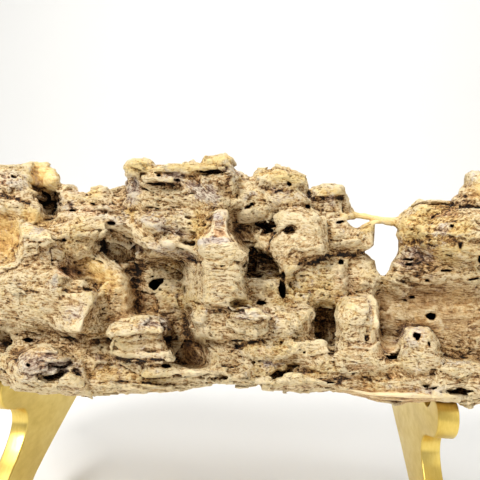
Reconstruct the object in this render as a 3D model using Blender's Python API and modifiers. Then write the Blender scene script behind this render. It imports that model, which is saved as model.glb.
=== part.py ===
"""Agarwood display piece: one long block of weathered, insect-eaten agarwood
lying on the ledges of a gold easel stand (two side plates joined by two rods).

Frame: +Z up, +X to the right as the show face is looked at, -Y towards the viewer.
Origin: on the table, under the middle of the whole piece. Units: metres.
"""
import bmesh
import bpy
import math
from mathutils import Matrix, Vector

MM = 0.001

# ---- driving dimensions (mm) -------------------------------------------------
PLATE_T = 10.0          # thickness of a stand side plate
PLATE_IN = 109.0        # half the clear gap between the two plates
LEDGE_Z = 90.0          # height of the ledge that carries the wood
GAP = 0.3               # clearance between touching pieces
ROD_R = 4.0             # radius of the stand's cross rods
ROD_LOW = (76.0, 82.0)  # (y, z) of the lower rod
ROD_HIGH = (71.5, 125.0)
SOCKET = 5.0            # depth of a rod's socket in the plate
BACK_Y = 62.0           # the upright's front face at the ledge
SHIFT_X = 3.2           # puts the origin under the middle of the piece
SHIFT_Y = -29.2
VOXEL = 1.7             # grain of the carved solid
WOOD_FACES = 7000       # faces kept on the wood

# The show face is sketched as it looks to an eye in front of it. The eye stands EYE_D in front
# of the sheet's own plane (y = 0), right of the middle, and looks a little down and to the left.
EYE = Vector((35.8, -250.0, 185.0))
FOCUS = 500.0           # sheet units seen at one unit of slope
SHEET_MID = 240.0
YAW, TILT, ROLL = math.radians(5.53), math.radians(-3.73), math.radians(1.38)

_f = Vector((-math.sin(YAW) * math.cos(TILT), math.cos(YAW) * math.cos(TILT), math.sin(TILT)))
_r0 = Vector((math.cos(YAW), math.sin(YAW), 0.0))
_u0 = _r0.cross(_f)
_r = math.cos(ROLL) * _r0 + math.sin(ROLL) * _u0
_u = -math.sin(ROLL) * _r0 + math.cos(ROLL) * _u0


def lift(u, v, y):
    """The point of space at depth y (mm) that a sketched point (u right, v down) covers."""
    d = _f * FOCUS + _r * (u - SHEET_MID) - _u * (v - SHEET_MID)
    return EYE + d * ((y - EYE.y) / d.y)


def per_unit(y):
    """Millimetres that one sheet unit covers at depth y."""
    return (y - EYE.y) / FOCUS


# ---- the wood: lumps that stand on the core, then hollows ---------------------
# name, front depth, back depth, rounding (mm), outline on the sheet
LUMPS = [
    ("core_left", 6, 53, 9, [(-62, 252), (-44, 226), (-18, 208), (20, 212), (57, 206), (90, 204), (125, 200), (160, 196),
                             (240, 196), (300, 208), (330, 226), (345, 252), (345, 388), (240, 384), (100, 390), (10, 386),
                             (-34, 378), (-60, 352), (-68, 300)]),
    ("core_right", 13, 51, 8, [(330, 258), (352, 252), (366, 255), (373, 262), (377, 272), (382, 278), (388, 272), (394, 262),
                               (420, 226), (460, 212), (505, 214), (536, 250), (550, 300), (540, 350), (516, 386), (480, 398),
                               (400, 398), (340, 390)]),
    ("top_left_block", -8, 38, 5, [(-40, 196), (-24, 178), (-5, 168), (10, 167), (24, 166), (31, 170), (33, 182), (38, 196),
                                   (43, 212), (40, 226), (22, 226), (14, 214), (0, 213), (-30, 222)]),
    ("gold_knob", 8, 34, 5, [(28, 169), (33, 166.5), (46, 165.5), (50, 172), (54, 181), (57, 188), (56, 196), (50, 200),
                             (40, 200), (30, 188)]),
    ("crest_a", -2, 34, 4, [(58, 199), (60, 190), (65, 187), (71, 187.5), (76, 191), (81, 193), (86, 198), (91, 207),
                            (90, 226), (60, 226), (55, 212)]),
    ("crest_b", -1, 36, 4, [(86, 200), (93, 191), (99.5, 189), (107, 192), (112, 195), (121, 204), (124, 228), (90, 228)]),
    ("crest_c", 8, 38, 4, [(111, 198), (120, 190.5), (127, 186), (133, 188), (136, 210), (132, 228), (112, 226)]),
    ("crown", 2, 44, 4, [(126.5, 167), (130, 163), (135, 162), (148, 162), (153, 166.5), (163, 168), (169, 165), (180, 165.5),
                         (193, 162.5), (201, 164.5), (206, 158), (216, 157.5), (225, 155.5), (229.5, 160), (234, 170),
                         (240, 173.5), (244, 178), (250, 181.5), (256, 190), (252, 215), (236, 228), (200, 240), (150, 240),
                         (132, 228), (128, 206), (129, 184), (128.5, 171)]),
    ("crown_ledge", -8, 20, 4, [(132, 180), (150, 178), (166, 178), (178, 184), (196, 190), (214, 196), (226, 204), (214, 214),
                                (200, 232), (170, 236), (140, 232), (128, 222), (126, 200)]),
    ("crown_lip", -5, 20, 2.5, [(127, 166), (136, 162), (148, 162), (154, 167), (170, 166), (193, 163), (206, 165), (204, 172),
                                (180, 173), (160, 174), (140, 174), (128, 176)]),
    ("crown_peak", -7, 26, 4, [(203, 165), (206, 158), (216, 157.5), (225, 155.5), (229.5, 160), (234, 171), (240, 178),
                               (232, 192), (222, 186), (212, 178)]),
    ("left_slope", -12, 24, 6, [(44, 228), (57, 212), (75, 205), (100, 206), (116, 214), (122, 232), (112, 238), (103, 246),
                                (92, 256), (80, 264), (66, 262), (50, 244)]),
    ("left_wedge", -24, 20, 6, [(19, 224), (30, 221), (42, 229), (56, 236), (66, 246), (68, 258), (62, 264), (62, 274),
                                (72, 282), (92, 292), (91, 304), (83, 318), (72, 333), (62, 333), (56, 330), (30, 328),
                                (6, 328), (-16, 326), (-40, 316), (-54, 292), (-40, 268), (-8, 263), (8, 256), (14, 238)]),
    ("left_wedge_side", -12, 20, 6, [(88, 296), (104, 292), (116, 306), (112, 326), (96, 330), (78, 330)]),
    ("diagonal_ridge", -14, 20, 8, [(84, 262), (92, 255), (104, 258), (114, 268), (124, 273), (131, 285), (135, 300),
                                    (136, 318), (128, 327), (116, 328), (106, 316), (100, 300), (92, 286), (84, 276)]),
    ("tunnel_hood", -12, 20, 4, [(100, 240), (106, 233), (118, 230), (130, 234), (138, 246), (134, 256), (124, 248),
                                 (112, 240), (104, 246)]),
    ("shelf", -15, 18, 3.5, [(124, 232), (140, 226), (160, 230), (180, 236), (196, 244), (207, 255), (206, 263), (196, 260),
                             (185, 257), (165, 258), (150, 260), (138, 257), (128, 250)]),
    ("pillar", -30, 14, 6, [(206, 248), (212, 240), (222, 236), (232, 236), (240, 241), (245, 248), (248.5, 256), (246, 268),
                            (245, 285), (247, 297), (250, 306), (240, 310), (225, 309), (208, 305), (202, 300), (203, 285),
                            (202, 268), (203, 256)]),
    ("pillar_head", -21, 10, 4, [(213, 220), (216, 213), (221, 211), (226, 213), (229, 220), (231, 230), (237, 238),
                                 (236, 246), (210, 246), (206, 240), (211, 232)]),
    ("under_pillar", -23, 12, 5, [(196, 303), (215, 304), (240, 308), (252, 311), (266, 317), (273, 326), (264, 336),
                                  (240, 340), (215, 344), (198, 338), (190, 320)]),
    ("boulder", -18, 20, 9, [(270, 221), (284, 212), (300, 209), (315, 214), (322, 224), (325.5, 240), (324, 256), (314, 255),
                             (304, 259), (296, 266), (287, 272), (277, 264), (269, 248), (266, 232)]),
    ("right_of_boulder", -2, 40, 4, [(324, 216), (346, 213), (352, 226), (360, 229), (372, 224), (374.5, 234), (374, 245),
                                     (364, 251), (345, 253), (324, 257)]),
    ("sliver", 4, 14, 1.5, [(350, 231), (364, 223.5), (376, 220), (381, 221.5), (375, 226), (374, 236), (360, 238)]),
    ("block_j", 0, 38, 5, [(250, 190), (250, 181.5), (255, 178), (260, 172), (270.5, 171), (274.5, 167.5), (285, 167.5),
                           (289, 173), (299.5, 174.5), (305, 177.5), (307, 187), (307.5, 199), (314, 207), (324, 218),
                           (310, 216), (295, 214), (275, 216), (262, 208), (252, 202)]),
    ("block_k", 4, 38, 4, [(306, 206), (309, 200), (311, 194.5), (313.5, 188.5), (324, 186.7), (342.5, 186.7), (344, 196.7),
                           (348.7, 203.6), (351, 210.5), (357, 214), (352, 222), (335, 224), (318, 224), (308, 216)]),
    ("top_middle", -5, 34, 5, [(236, 180), (250, 183), (262, 192), (276, 206), (272, 217), (255, 219), (240, 221), (230, 210)]),
    ("under_boulder", -9, 24, 5, [(287, 272), (297, 267), (310, 266), (322, 260), (335, 258), (346, 262), (352, 276),
                                  (352, 292), (342, 298), (336, 306), (320, 306), (312, 312), (300, 318), (288, 310),
                                  (287, 300), (288, 288)]),
    ("lower_middle", -21, 24, 6, [(262, 303), (275, 302), (290, 308), (312, 310), (313, 330), (318, 344), (326, 342),
                                  (327, 352), (329, 364), (334, 374), (334, 386), (300, 384), (262, 382), (238, 380),
                                  (230, 362), (240, 342), (262, 336), (271, 326)]),
    ("step_block", -25, 6, 3, [(308, 346), (317, 339.5), (326, 340), (327.5, 352), (329, 363), (316, 367), (304, 358)]),
    ("lower_left_of_middle", -17, 20, 6, [(196, 334), (214, 342), (236, 338), (244, 350), (244, 372), (214, 374), (206, 366),
                                          (210, 352), (204, 344)]),
    ("pillar_n", -27, 16, 6, [(337, 318), (341, 306), (345, 300), (352, 297.5), (365, 297.5), (371, 298.5), (376, 304),
                              (378, 315), (379, 330), (379.5, 343), (382, 352), (390, 358), (399, 363), (390, 374),
                              (360, 378), (338, 374), (332, 362), (331, 352), (336, 340), (337, 330)]),
    ("nub", -4, 16, 4, [(379, 342), (384, 337), (392, 337), (397, 342), (396, 349), (389, 353), (382, 350)]),
    ("pillar_o", -27, 8, 5, [(397, 360), (399, 345), (400, 336), (404, 328.5), (410, 326.5), (428, 327), (433, 332),
                             (437, 342), (441, 352), (447, 358), (453, 363), (440, 374), (415, 378), (398, 370), (392, 363)]),
    ("right_ledge", -29, 30, 4, [(438, 365), (450, 360), (470, 361), (480, 366), (505, 368), (524, 376), (524, 394),
                                 (480, 402), (445, 400), (430, 392)]),
    ("base_slab", -27, 45, 5, [(86, 374), (120, 369), (150, 367), (176, 372), (200, 373), (240, 371), (262, 373), (300, 371),
                               (335, 373), (370, 379), (400, 373), (440, 371), (480, 373), (512, 378), (524, 390),
                               (512, 401), (480, 403), (469.5, 406), (454, 402.5), (431, 401.7), (393, 401.7), (370, 399.4),
                               (347, 393.3), (330, 389.4), (301, 388.7), (263, 388.7), (258, 384), (240, 384), (214, 384),
                               (191, 385.6), (182, 389.4), (160, 392.5), (138, 391), (107, 392.5), (92, 395), (80, 390)]),
    ("low_left_knob", -34, 30, 7, [(7, 378), (9, 364), (18, 355), (30, 348), (45, 347), (58, 350), (70, 356), (79, 362),
                                   (86, 372), (92, 384), (92, 395), (76, 395), (54, 395), (31, 393), (18, 391), (11, 385)]),
    ("low_left_bank", -20, 40, 6, [(-52, 352), (-30, 344), (0, 347), (20, 350), (40, 344), (64, 346), (96, 352), (112, 362),
                                   (110, 384), (60, 388), (10, 386), (-34, 380)]),
    ("cap_top", -36, -2, 3, [(108, 332), (112, 322), (120, 319), (135, 321), (146, 317), (158, 319), (168, 323), (171, 331),
                             (164, 337), (150, 334), (135, 332.5), (120, 334)]),
    ("cap_waist", -27, 6, 4, [(114, 328), (160, 328), (164, 340), (168, 350), (160, 356), (120, 354), (115, 344)]),
    ("cap_foot", -35, 0, 2.5, [(110, 348), (118, 349.5), (130, 351), (150, 350), (163, 351), (170, 351), (168, 357),
                               (158, 359), (140, 359.5), (122, 357.5), (112, 354)]),
    ("right_mass", 0, 50, 7, [(398, 254), (398, 241), (395.5, 235), (398, 229), (396, 224), (406, 211), (420, 204.3),
                              (433, 203), (446.5, 203), (451, 204), (453.5, 199), (459, 194.5), (467, 188.3), (469.5, 181),
                              (468, 175.5), (473, 173), (484, 173), (498, 180), (512, 196), (526, 214), (536, 240),
                              (528, 268), (500, 276), (470, 288), (440, 286), (415, 282), (400, 288), (388, 284),
                              (384, 276), (391, 266), (397, 256)]),
    ("back_a", 30, 61, 8, [(-54, 268), (-30, 240), (8, 228), (46, 236), (66, 250), (88, 262), (80, 288), (98, 312), (88, 338),
                           (62, 346), (30, 362), (-10, 352), (-40, 356), (-60, 316)]),
    ("back_b", 30, 60, 7, [(94, 222), (120, 224), (148, 212), (186, 216), (202, 236), (216, 252), (198, 276), (204, 296),
                           (168, 308), (134, 296), (112, 300), (100, 262)]),
    ("back_c", 30, 62, 8, [(112, 328), (146, 318), (176, 326), (208, 312), (236, 318), (262, 310), (296, 326), (334, 344),
                           (322, 372), (280, 378), (236, 372), (190, 382), (130, 376), (106, 352)]),
    ("back_d", 30, 58, 6, [(222, 226), (252, 218), (276, 232), (306, 224), (326, 244), (322, 274), (330, 296), (300, 306),
                           (268, 298), (240, 300), (230, 268), (214, 248)]),
    ("back_e", 30, 62, 8, [(402, 268), (424, 250), (446, 252), (478, 238), (508, 252), (528, 280), (512, 306), (486, 326),
                           (452, 318), (424, 330), (408, 300)]),
    ("back_f", 30, 60, 7, [(344, 330), (372, 314), (398, 318), (420, 340), (462, 336), (506, 340), (522, 366), (490, 388),
                           (440, 384), (380, 392), (346, 372)]),
    ("right_mass_front", -12, 30, 8, [(414, 226), (440, 214), (462, 206), (486, 206), (510, 226), (516, 250), (496, 266),
                                      (466, 270), (436, 262), (416, 248)]),
]
# name, centre u, v, depth, radii in u, v (sheet units) and depth (mm), turn (degrees)
LUMP_BALLS = [
    ("left_end", -44, 300, 26, 30, 52, 30, 0),
    ("right_end", 528, 300, 30, 28, 60, 26, 0),
]
BRIDGE = [((343, 213), 12, 5.2), ((352, 214.5), 12, 3.4), ((364, 216.5), 12, 2.9), ((376, 219), 12, 2.7),
          ((388, 221), 12, 3.0), ((399, 222), 12, 4.0), ((410, 218), 14, 7.0)]
# hollows: name, front depth, back depth, rounding, outline
HOLLOWS = [
    ("under_knob", -16, 18, 2, [(33, 187), (38, 190), (46, 197), (54, 198), (59, 203), (58, 208), (52, 213), (46, 213),
                                (40, 209), (37, 202)]),
    ("tan_recess", -30, 2, 4, [(-30, 216), (0, 209), (14, 212), (20, 222), (14, 240), (6, 256), (-20, 262), (-60, 262)]),
    ("trench", -40, 24, 3, [(112, 246), (122, 252), (134, 259), (146, 262), (153, 262), (152, 275), (150, 281), (146, 290),
                            (141, 297), (140, 314), (135, 316), (134, 300), (131, 286), (126, 274), (117, 265),
                            (108, 260), (104, 252)]),
    ("alcove", -40, 7, 3, [(144, 264), (150, 261), (165, 259), (185, 258), (195, 262), (199, 267), (202, 285), (200, 300),
                           (188, 306), (168, 308), (148, 302), (143, 290)]),
    ("cleft_h", -20, 18, 2, [(232, 224), (242, 222), (255, 219), (268, 218), (276, 222), (277, 229), (270, 234),
                             (258, 236), (246, 233)]),
    ("cavern", -40, 24, 3, [(246, 256), (252, 249), (262, 248), (272, 252), (279, 262), (283, 272), (285, 280), (281, 282),
                            (268, 279), (256, 279), (248, 277)]),
    ("cavern_cleft", -40, 18, 2, [(279, 272), (284, 273), (287, 282), (286, 292), (287, 300), (281, 300), (276, 297),
                                  (278, 288)]),
    ("recess_p", -40, 20, 2, [(314, 309), (326, 308), (334, 306), (337, 312), (336, 330), (335, 344), (331, 351),
                              (328, 347), (327, 338), (318, 337), (316, 332), (312, 322)]),
    ("cone_t", -40, 14, 3, [(188, 318), (190, 320), (193, 332), (194, 344), (204, 345), (208, 352), (209, 362), (205, 369),
                            (197, 368), (188, 361), (179, 360), (175, 356), (174, 346), (178, 338), (183, 330)]),
    ("gap_under_nub", -40, 10, 1.5, [(380, 348), (384, 352), (389, 355), (394, 353), (398, 344), (400, 349), (398, 357),
                                     (392, 360), (385, 358)]),
    ("hollow_o", -40, 20, 3, [(442, 350), (448, 346), (464, 347), (474, 352), (468, 358), (452, 360), (445, 357)]),
    ("black_hole_l", -20, 40, 2, [(425.5, 318), (429, 311.5), (433, 312.5), (436.5, 318.5), (430, 319.5)]),
    ("low_left_hollow", -40, 2, 3, [(-30, 330), (0, 330), (9, 334), (16, 339), (19, 344), (8, 349), (-24, 352)]),
    ("under_wedge", -40, -1, 3, [(72, 336), (84, 331), (100, 330), (110, 333), (113, 341), (104, 347), (84, 346), (72, 342)]),
    ("slab_gap", -40, -6, 1.5, [(266, 383), (272, 377), (278, 372), (289, 366), (300, 366), (292, 372), (296, 379),
                                (286, 378), (278, 381)]),
]
HOLLOW_BALLS = [
    ("brown_lens", 76, 272, -14, 15, 6, 14, 14),
    ("eye_hole", 156, 284, 10, 8, 6.5, 26, 0),
    ("round_hole", 290, 229, -14, 6.5, 5.5, 9, 0),
    ("hole_o", 417, 335, -26, 3.2, 3.6, 10, 0),
    ("arch_hole", 340, 222, -4, 6, 2.2, 12, 0),
    ("back_hollow_a", 160, 258, 66, 34, 16, 14, -12),
    ("back_hollow_b", 300, 340, 66, 40, 12, 12, 10),
    ("back_hollow_c", 24, 318, 66, 44, 13, 12, 6),
    ("back_hollow_d", 462, 286, 66, 36, 15, 14, -8),
    ("back_hollow_e", 272, 262, 64, 16, 20, 14, 0),
    ("back_hollow_f", 92, 290, 62, 8, 30, 12, 20),
]
# the two see-through windows
WINDOWS = [
    ("small_window", [(346, 220), (358, 219.4), (369, 220.4), (364, 223.5), (357, 227), (351, 225.6)]),
    ("window", [(375, 225), (375, 223.5), (381, 224.5), (389, 225.5), (394, 227.5), (397.5, 229), (395.6, 235),
                (398.3, 240.3), (398, 246), (398.3, 250.2), (396, 256), (391, 263), (389, 270), (385, 275.5),
                (381, 275.5), (376.5, 270), (375.3, 260), (370, 255.6), (363.8, 251.8), (370, 248.7), (374, 245),
                (374.6, 234)]),
]

# stand side plate, as (y, z) in mm, walked round its edge
PLATE = [(-36.5, 1.5), (-37.5, 5), (-34, 9), (-27, 16), (-19, 24.5), (-10, 32.5), (-3, 38), (4, 43.5), (10, 49.5), (14, 55.5),
         (15.4, 61), (13.5, 67), (8, 70.6), (1, 73), (-6, 76.3), (-10.4, 82), (-10.8, 88), (-8.2, 92.6), (-3.5, 94),
         (1.4, 92.4), (4.6, 88.6), (8, 85.8), (12, 85.6), (16, 87.6), (20, LEDGE_Z), (30, LEDGE_Z), (45, LEDGE_Z),
         (58, LEDGE_Z), (BACK_Y, LEDGE_Z + 2.5), (BACK_Y + 1.0, 104), (BACK_Y + 2.4, 120), (BACK_Y + 5.2, 136),
         (BACK_Y + 9, 148), (BACK_Y + 13, 154.5), (BACK_Y + 18, 155.5), (BACK_Y + 21, 151), (BACK_Y + 19.6, 143),
         (BACK_Y + 16.2, 129), (BACK_Y + 15, 114), (BACK_Y + 17, 99), (85, 86), (91, 74), (95, 65), (95.5, 58), (92, 53.8),
         (86, 51), (76, 47), (62, 41.2), (46, 34.4), (32, 28), (22, 22.6), (16.5, 18), (15.5, 14), (19, 11.4), (27, 10.1),
         (35, 8.8), (42, 7.2), (47.5, 5.4), (50.3, 3.4), (49.6, 1.1), (46, 0), (38, 0), (32, 0.4), (27, 2.6), (18, 4.2),
         (8, 4.1), (0, 3.6), (-8, 2.2), (-13, 0.3), (-20, 0), (-30, 0)]


def clear_scene():
    for o in list(bpy.data.objects):
        bpy.data.objects.remove(o, do_unlink=True)
    for c in list(bpy.data.collections):
        bpy.data.collections.remove(c)


def material(name, colour, rough, metal):
    m = bpy.data.materials.new(name)
    m.use_nodes = True
    b = m.node_tree.nodes["Principled BSDF"]
    b.inputs["Base Color"].default_value = (*colour, 1)
    b.inputs["Roughness"].default_value = rough
    b.inputs["Metallic"].default_value = metal
    return m


def collection(name):
    c = bpy.data.collections.new(name)
    bpy.context.scene.collection.children.link(c)
    return c


def put(bm, name, where):
    me = bpy.data.meshes.new(name)
    bm.to_mesh(me)
    bm.free()
    ob = bpy.data.objects.new(name, me)
    where.objects.link(ob)
    return ob


def ring(outline, y, inset):
    """The outline carried to depth y, drawn in towards its middle by inset mm."""
    pts = [lift(u, v, y) for u, v in outline]
    if inset:
        mid = sum(pts, Vector()) / len(pts)
        pts = [p + (mid - p).normalized() * min(inset, (mid - p).length * 0.45) for p in pts]
    return pts


def add_block(bm, outline, y0, y1, r):
    """An outline swept from its back depth to its front one, drawn in over the last r mm at each end."""
    part = bmesh.new()
    r = min(r, (y1 - y0) * 0.45)
    face = part.faces.new([part.verts.new(p * MM) for p in ring(outline, y1, r)])
    for y, inset in ((y1 - r, 0), (y0 + r, 0), (y0 + r * 0.3, r * 0.3), (y0, r)):
        made = bmesh.ops.extrude_face_region(part, geom=[face])
        face = [g for g in made["geom"] if isinstance(g, bmesh.types.BMFace)][0]
        for vert, p in zip(face.verts, ring(outline, y, inset)):
            vert.co = p * MM
    bmesh.ops.holes_fill(part, edges=part.edges, sides=0)
    bmesh.ops.recalc_face_normals(part, faces=part.faces)
    bmesh.ops.triangulate(part, faces=part.faces)
    me = bpy.data.meshes.new("block")
    part.to_mesh(me)
    part.free()
    bm.from_mesh(me)
    bpy.data.meshes.remove(me)


def add_ball(bm, u, v, y, ru, rv, ry, turn):
    s = per_unit(y)
    m = (Matrix.Translation(lift(u, v, y) * MM) @ Matrix.Rotation(math.radians(-turn), 4, "Y")
         @ Matrix.Diagonal((ru * s * MM, ry * MM, rv * s * MM, 1)))
    bmesh.ops.create_uvsphere(bm, u_segments=28, v_segments=18, radius=1.0, matrix=m)


def add_limb(bm, joints):
    """A branch: a ball at each joint and a cone between neighbours."""
    pts = [(lift(*uv, y) * MM, r * per_unit(y) * MM) for uv, y, r in joints]
    for p, r in pts:
        bmesh.ops.create_uvsphere(bm, u_segments=16, v_segments=10, radius=r, matrix=Matrix.Translation(p))
    for (a, ra), (b, rb) in zip(pts, pts[1:]):
        d = b - a
        turn = d.to_track_quat("Z", "Y").to_matrix().to_4x4()
        bmesh.ops.create_cone(bm, cap_ends=True, segments=16, radius1=ra, radius2=rb, depth=d.length,
                              matrix=Matrix.Translation((a + b) / 2) @ turn)


def voxels(ob, size):
    m = ob.modifiers.new("voxels", "REMESH")
    m.mode = "VOXEL"
    m.voxel_size = size * MM
    m.adaptivity = 0.0
    return m


def box_cutter(name, low, high, where):
    bm = bmesh.new()
    bmesh.ops.create_cube(bm, size=1.0)
    low, high = Vector(low), Vector(high)
    for v in bm.verts:
        v.co = Vector(((low[i] + high[i]) / 2 + v.co[i] * (high[i] - low[i])) * MM for i in range(3))
    ob = put(bm, name, where)
    ob.hide_render = True
    ob.display_type = "WIRE"
    return ob


def cut(ob, cutter, name):
    m = ob.modifiers.new(name, "BOOLEAN")
    m.operation = "DIFFERENCE"
    m.object = cutter
    m.solver = "EXACT"
    return m


def settled(ob):
    """Replaces an object's mesh by its evaluated one, and drops its modifiers."""
    graph = bpy.context.evaluated_depsgraph_get()
    me = bpy.data.meshes.new_from_object(ob.evaluated_get(graph))
    ob.modifiers.clear()
    ob.data = me
    return ob


clear_scene()
parts = collection("agarwood_display_piece")
helpers = collection("cutters")

# ---- the wood ------------------------------------------------------------------
bm = bmesh.new()
for _, y0, y1, r, outline in LUMPS:
    add_block(bm, outline, y0, y1, r)
for _, u, v, y, ru, rv, ry, turn in LUMP_BALLS:
    add_ball(bm, u, v, y, ru, rv, ry, turn)
add_limb(bm, BRIDGE)
wood = put(bm, "agarwood", parts)
voxels(wood, VOXEL)

bm = bmesh.new()
for _, y0, y1, r, outline in HOLLOWS:
    add_block(bm, outline, y0, y1, r)
for _, u, v, y, ru, rv, ry, turn in HOLLOW_BALLS:
    add_ball(bm, u, v, y, ru, rv, ry, turn)
for _, outline in WINDOWS:
    add_block(bm, outline, -34, 74, 0.5)
hollows = put(bm, "hollows", helpers)
voxels(hollows, VOXEL)
hollows.hide_render = True
hollows.display_type = "WIRE"
settled(hollows)
cut(wood, hollows, "hollows")
voxels(wood, VOXEL)
soft = wood.modifiers.new("soft", "SMOOTH")
soft.factor = 0.4
soft.iterations = 2
settled(wood)
keep = wood.modifiers.new("fewer faces", "DECIMATE")
keep.ratio = min(1.0, WOOD_FACES / max(1, sum(len(p.vertices) - 2 for p in wood.data.polygons)))
settled(wood)

# the underside is flat where the ledges carry it, and the back is flat against the uprights
floor_cut = box_cutter("underside", (-220, -60, 40), (220, 120, LEDGE_Z + GAP), helpers)
cut(wood, floor_cut, "underside")
for side in (-1, 1):
    x = side * (PLATE_IN + PLATE_T / 2)
    rest = box_cutter("rest_%d" % side, (x - 9, BACK_Y - GAP - 0.4, 60), (x + 9, BACK_Y + 60, 230), helpers)
    cut(wood, rest, "rest_%d" % side)
    heel = box_cutter("heel_%d" % side, (x - 9, 56.4, 60), (x + 9, BACK_Y + 5, LEDGE_Z + 3.8), helpers)
    cut(wood, heel, "heel_%d" % side)
    hook = box_cutter("hook_%d" % side, (x - 9, -40, 60), (x + 9, 6, LEDGE_Z + 4.6), helpers)
    cut(wood, hook, "hook_%d" % side)
wood.data.materials.append(material("agarwood", (0.62, 0.47, 0.30), 0.85, 0.0))

# ---- the stand -----------------------------------------------------------------
gold = material("gold", (0.78, 0.60, 0.24), 0.35, 0.85)


def rod(name, y, z):
    bm = bmesh.new()
    length = 2 * (PLATE_IN + SOCKET - GAP)
    bmesh.ops.create_cone(bm, cap_ends=True, segments=32, radius1=ROD_R * MM, radius2=ROD_R * MM, depth=length * MM,
                          matrix=Matrix.Rotation(math.pi / 2, 4, "Y"))
    ob = put(bm, name, parts)
    ob.location = Vector((0, y, z)) * MM
    ob.data.shade_smooth()
    ob.data.set_sharp_from_angle(angle=math.radians(40))
    ob.data.materials.append(gold)
    return ob


def socket(name, x, y, z):
    bm = bmesh.new()
    bmesh.ops.create_cone(bm, cap_ends=True, segments=32, radius1=(ROD_R + GAP) * MM, radius2=(ROD_R + GAP) * MM,
                          depth=2 * SOCKET * MM, matrix=Matrix.Rotation(math.pi / 2, 4, "Y"))
    ob = put(bm, name, helpers)
    ob.location = Vector((x, y, z)) * MM
    ob.hide_render = True
    ob.display_type = "WIRE"
    return ob


for label, side in (("left", -1), ("right", 1)):
    curve = bpy.data.curves.new("plate_" + label, "CURVE")
    curve.dimensions = "2D"
    curve.fill_mode = "BOTH"
    edge = 0.8
    curve.extrude = (PLATE_T / 2 - edge) * MM
    curve.bevel_depth = edge * MM
    curve.bevel_resolution = 0
    curve.offset = -edge * MM
    curve.resolution_u = 2
    spline = curve.splines.new("BEZIER")
    spline.bezier_points.add(len(PLATE) - 1)
    for bp, (y, z) in zip(spline.bezier_points, PLATE):
        bp.co = (y * MM, z * MM, 0)
        bp.handle_left_type = bp.handle_right_type = "VECTOR" if z == LEDGE_Z else "AUTO"
    spline.use_cyclic_u = True
    guide = bpy.data.objects.new("plate_guide_" + label, curve)
    helpers.objects.link(guide)
    # the sketch's own x and y become y and z
    guide.matrix_world = (Matrix.Translation(Vector((side * (PLATE_IN + PLATE_T / 2), 0, 0)) * MM)
                          @ Matrix(((0, 0, 1, 0), (1, 0, 0, 0), (0, 1, 0, 0), (0, 0, 0, 1))))
    bpy.context.view_layer.update()
    graph = bpy.context.evaluated_depsgraph_get()
    me = bpy.data.meshes.new_from_object(guide.evaluated_get(graph))
    me.transform(guide.matrix_world)
    bm = bmesh.new()
    bm.from_mesh(me)
    bmesh.ops.remove_doubles(bm, verts=bm.verts, dist=0.00002)
    # the two feet stand flat on the table
    bmesh.ops.recalc_face_normals(bm, faces=bm.faces)
    plate = put(bm, "stand_side_" + label, parts)
    bpy.data.meshes.remove(me)
    bpy.data.objects.remove(guide)
    table = box_cutter("table_" + label, (side * 114 - 20, -60, -20), (side * 114 + 20, 160, 0.9), helpers)
    cut(plate, table, "feet")
    for k, (y, z) in enumerate((ROD_LOW, ROD_HIGH)):
        cut(plate, socket("socket_%s_%d" % (label, k), side * PLATE_IN, y, z), "socket_%d" % k)
    plate.data.shade_smooth()
    plate.data.set_sharp_from_angle(angle=math.radians(35))
    plate.data.materials.append(gold)

rod("stand_rod_lower", *ROD_LOW)
rod("stand_rod_upper", *ROD_HIGH)

# ---- the origin: on the table, under the middle of the piece ----------------------
home = bpy.data.objects.new("piece", None)
parts.objects.link(home)
for ob in list(parts.objects):
    if ob is not home:
        ob.parent = home
for ob in list(helpers.objects):
    ob.parent = home
home.location = Vector((SHIFT_X, SHIFT_Y, -0.9)) * MM
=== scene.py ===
"""Looks for the agarwood display piece: the weathered wood, carved as one signed-distance
volume and meshed, on its gold easel stand."""
import math

import bmesh
import bpy
import numpy as np
import openvdb
from mathutils import Matrix, Vector


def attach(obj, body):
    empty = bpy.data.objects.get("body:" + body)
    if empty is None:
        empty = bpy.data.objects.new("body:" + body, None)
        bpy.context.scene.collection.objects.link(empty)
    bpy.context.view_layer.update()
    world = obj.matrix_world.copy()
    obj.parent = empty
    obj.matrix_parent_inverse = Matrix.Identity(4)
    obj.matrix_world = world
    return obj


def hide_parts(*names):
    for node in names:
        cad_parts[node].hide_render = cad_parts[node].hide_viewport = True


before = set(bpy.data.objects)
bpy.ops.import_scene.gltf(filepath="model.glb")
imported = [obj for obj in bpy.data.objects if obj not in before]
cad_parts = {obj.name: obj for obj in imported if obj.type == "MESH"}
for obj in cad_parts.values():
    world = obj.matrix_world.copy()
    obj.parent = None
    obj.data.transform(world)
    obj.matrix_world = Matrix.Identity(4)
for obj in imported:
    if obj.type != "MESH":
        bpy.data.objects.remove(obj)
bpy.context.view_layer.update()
MM = 0.001

# ---- the sheet: outlines are read as an eye in front of the show face sees them ----
EYE = np.array((35.8, -250.0, 185.0))
SHIFT = np.array((3.2, -29.2, -0.9))
FOCUS, MID = 500.0, 240.0
YAW, TILT, ROLL = math.radians(5.53), math.radians(-3.73), math.radians(1.38)
FWD = np.array((-math.sin(YAW) * math.cos(TILT), math.cos(YAW) * math.cos(TILT), math.sin(TILT)))
_r0 = np.array((math.cos(YAW), math.sin(YAW), 0.0))
_u0 = np.cross(_r0, FWD)
RIGHT = math.cos(ROLL) * _r0 + math.sin(ROLL) * _u0
UP = -math.sin(ROLL) * _r0 + math.cos(ROLL) * _u0


def lift(u, v, y):
    """Sheet position and depth (mm) to the place in space (mm, before the shift to the row's origin)."""
    d = [FWD[i] * FOCUS + RIGHT[i] * (u - MID) - UP[i] * (v - MID) for i in range(3)]
    t = (y - EYE[1]) / d[1]
    return EYE[0] + d[0] * t, EYE[1] + d[1] * t, EYE[2] + d[2] * t


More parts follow.
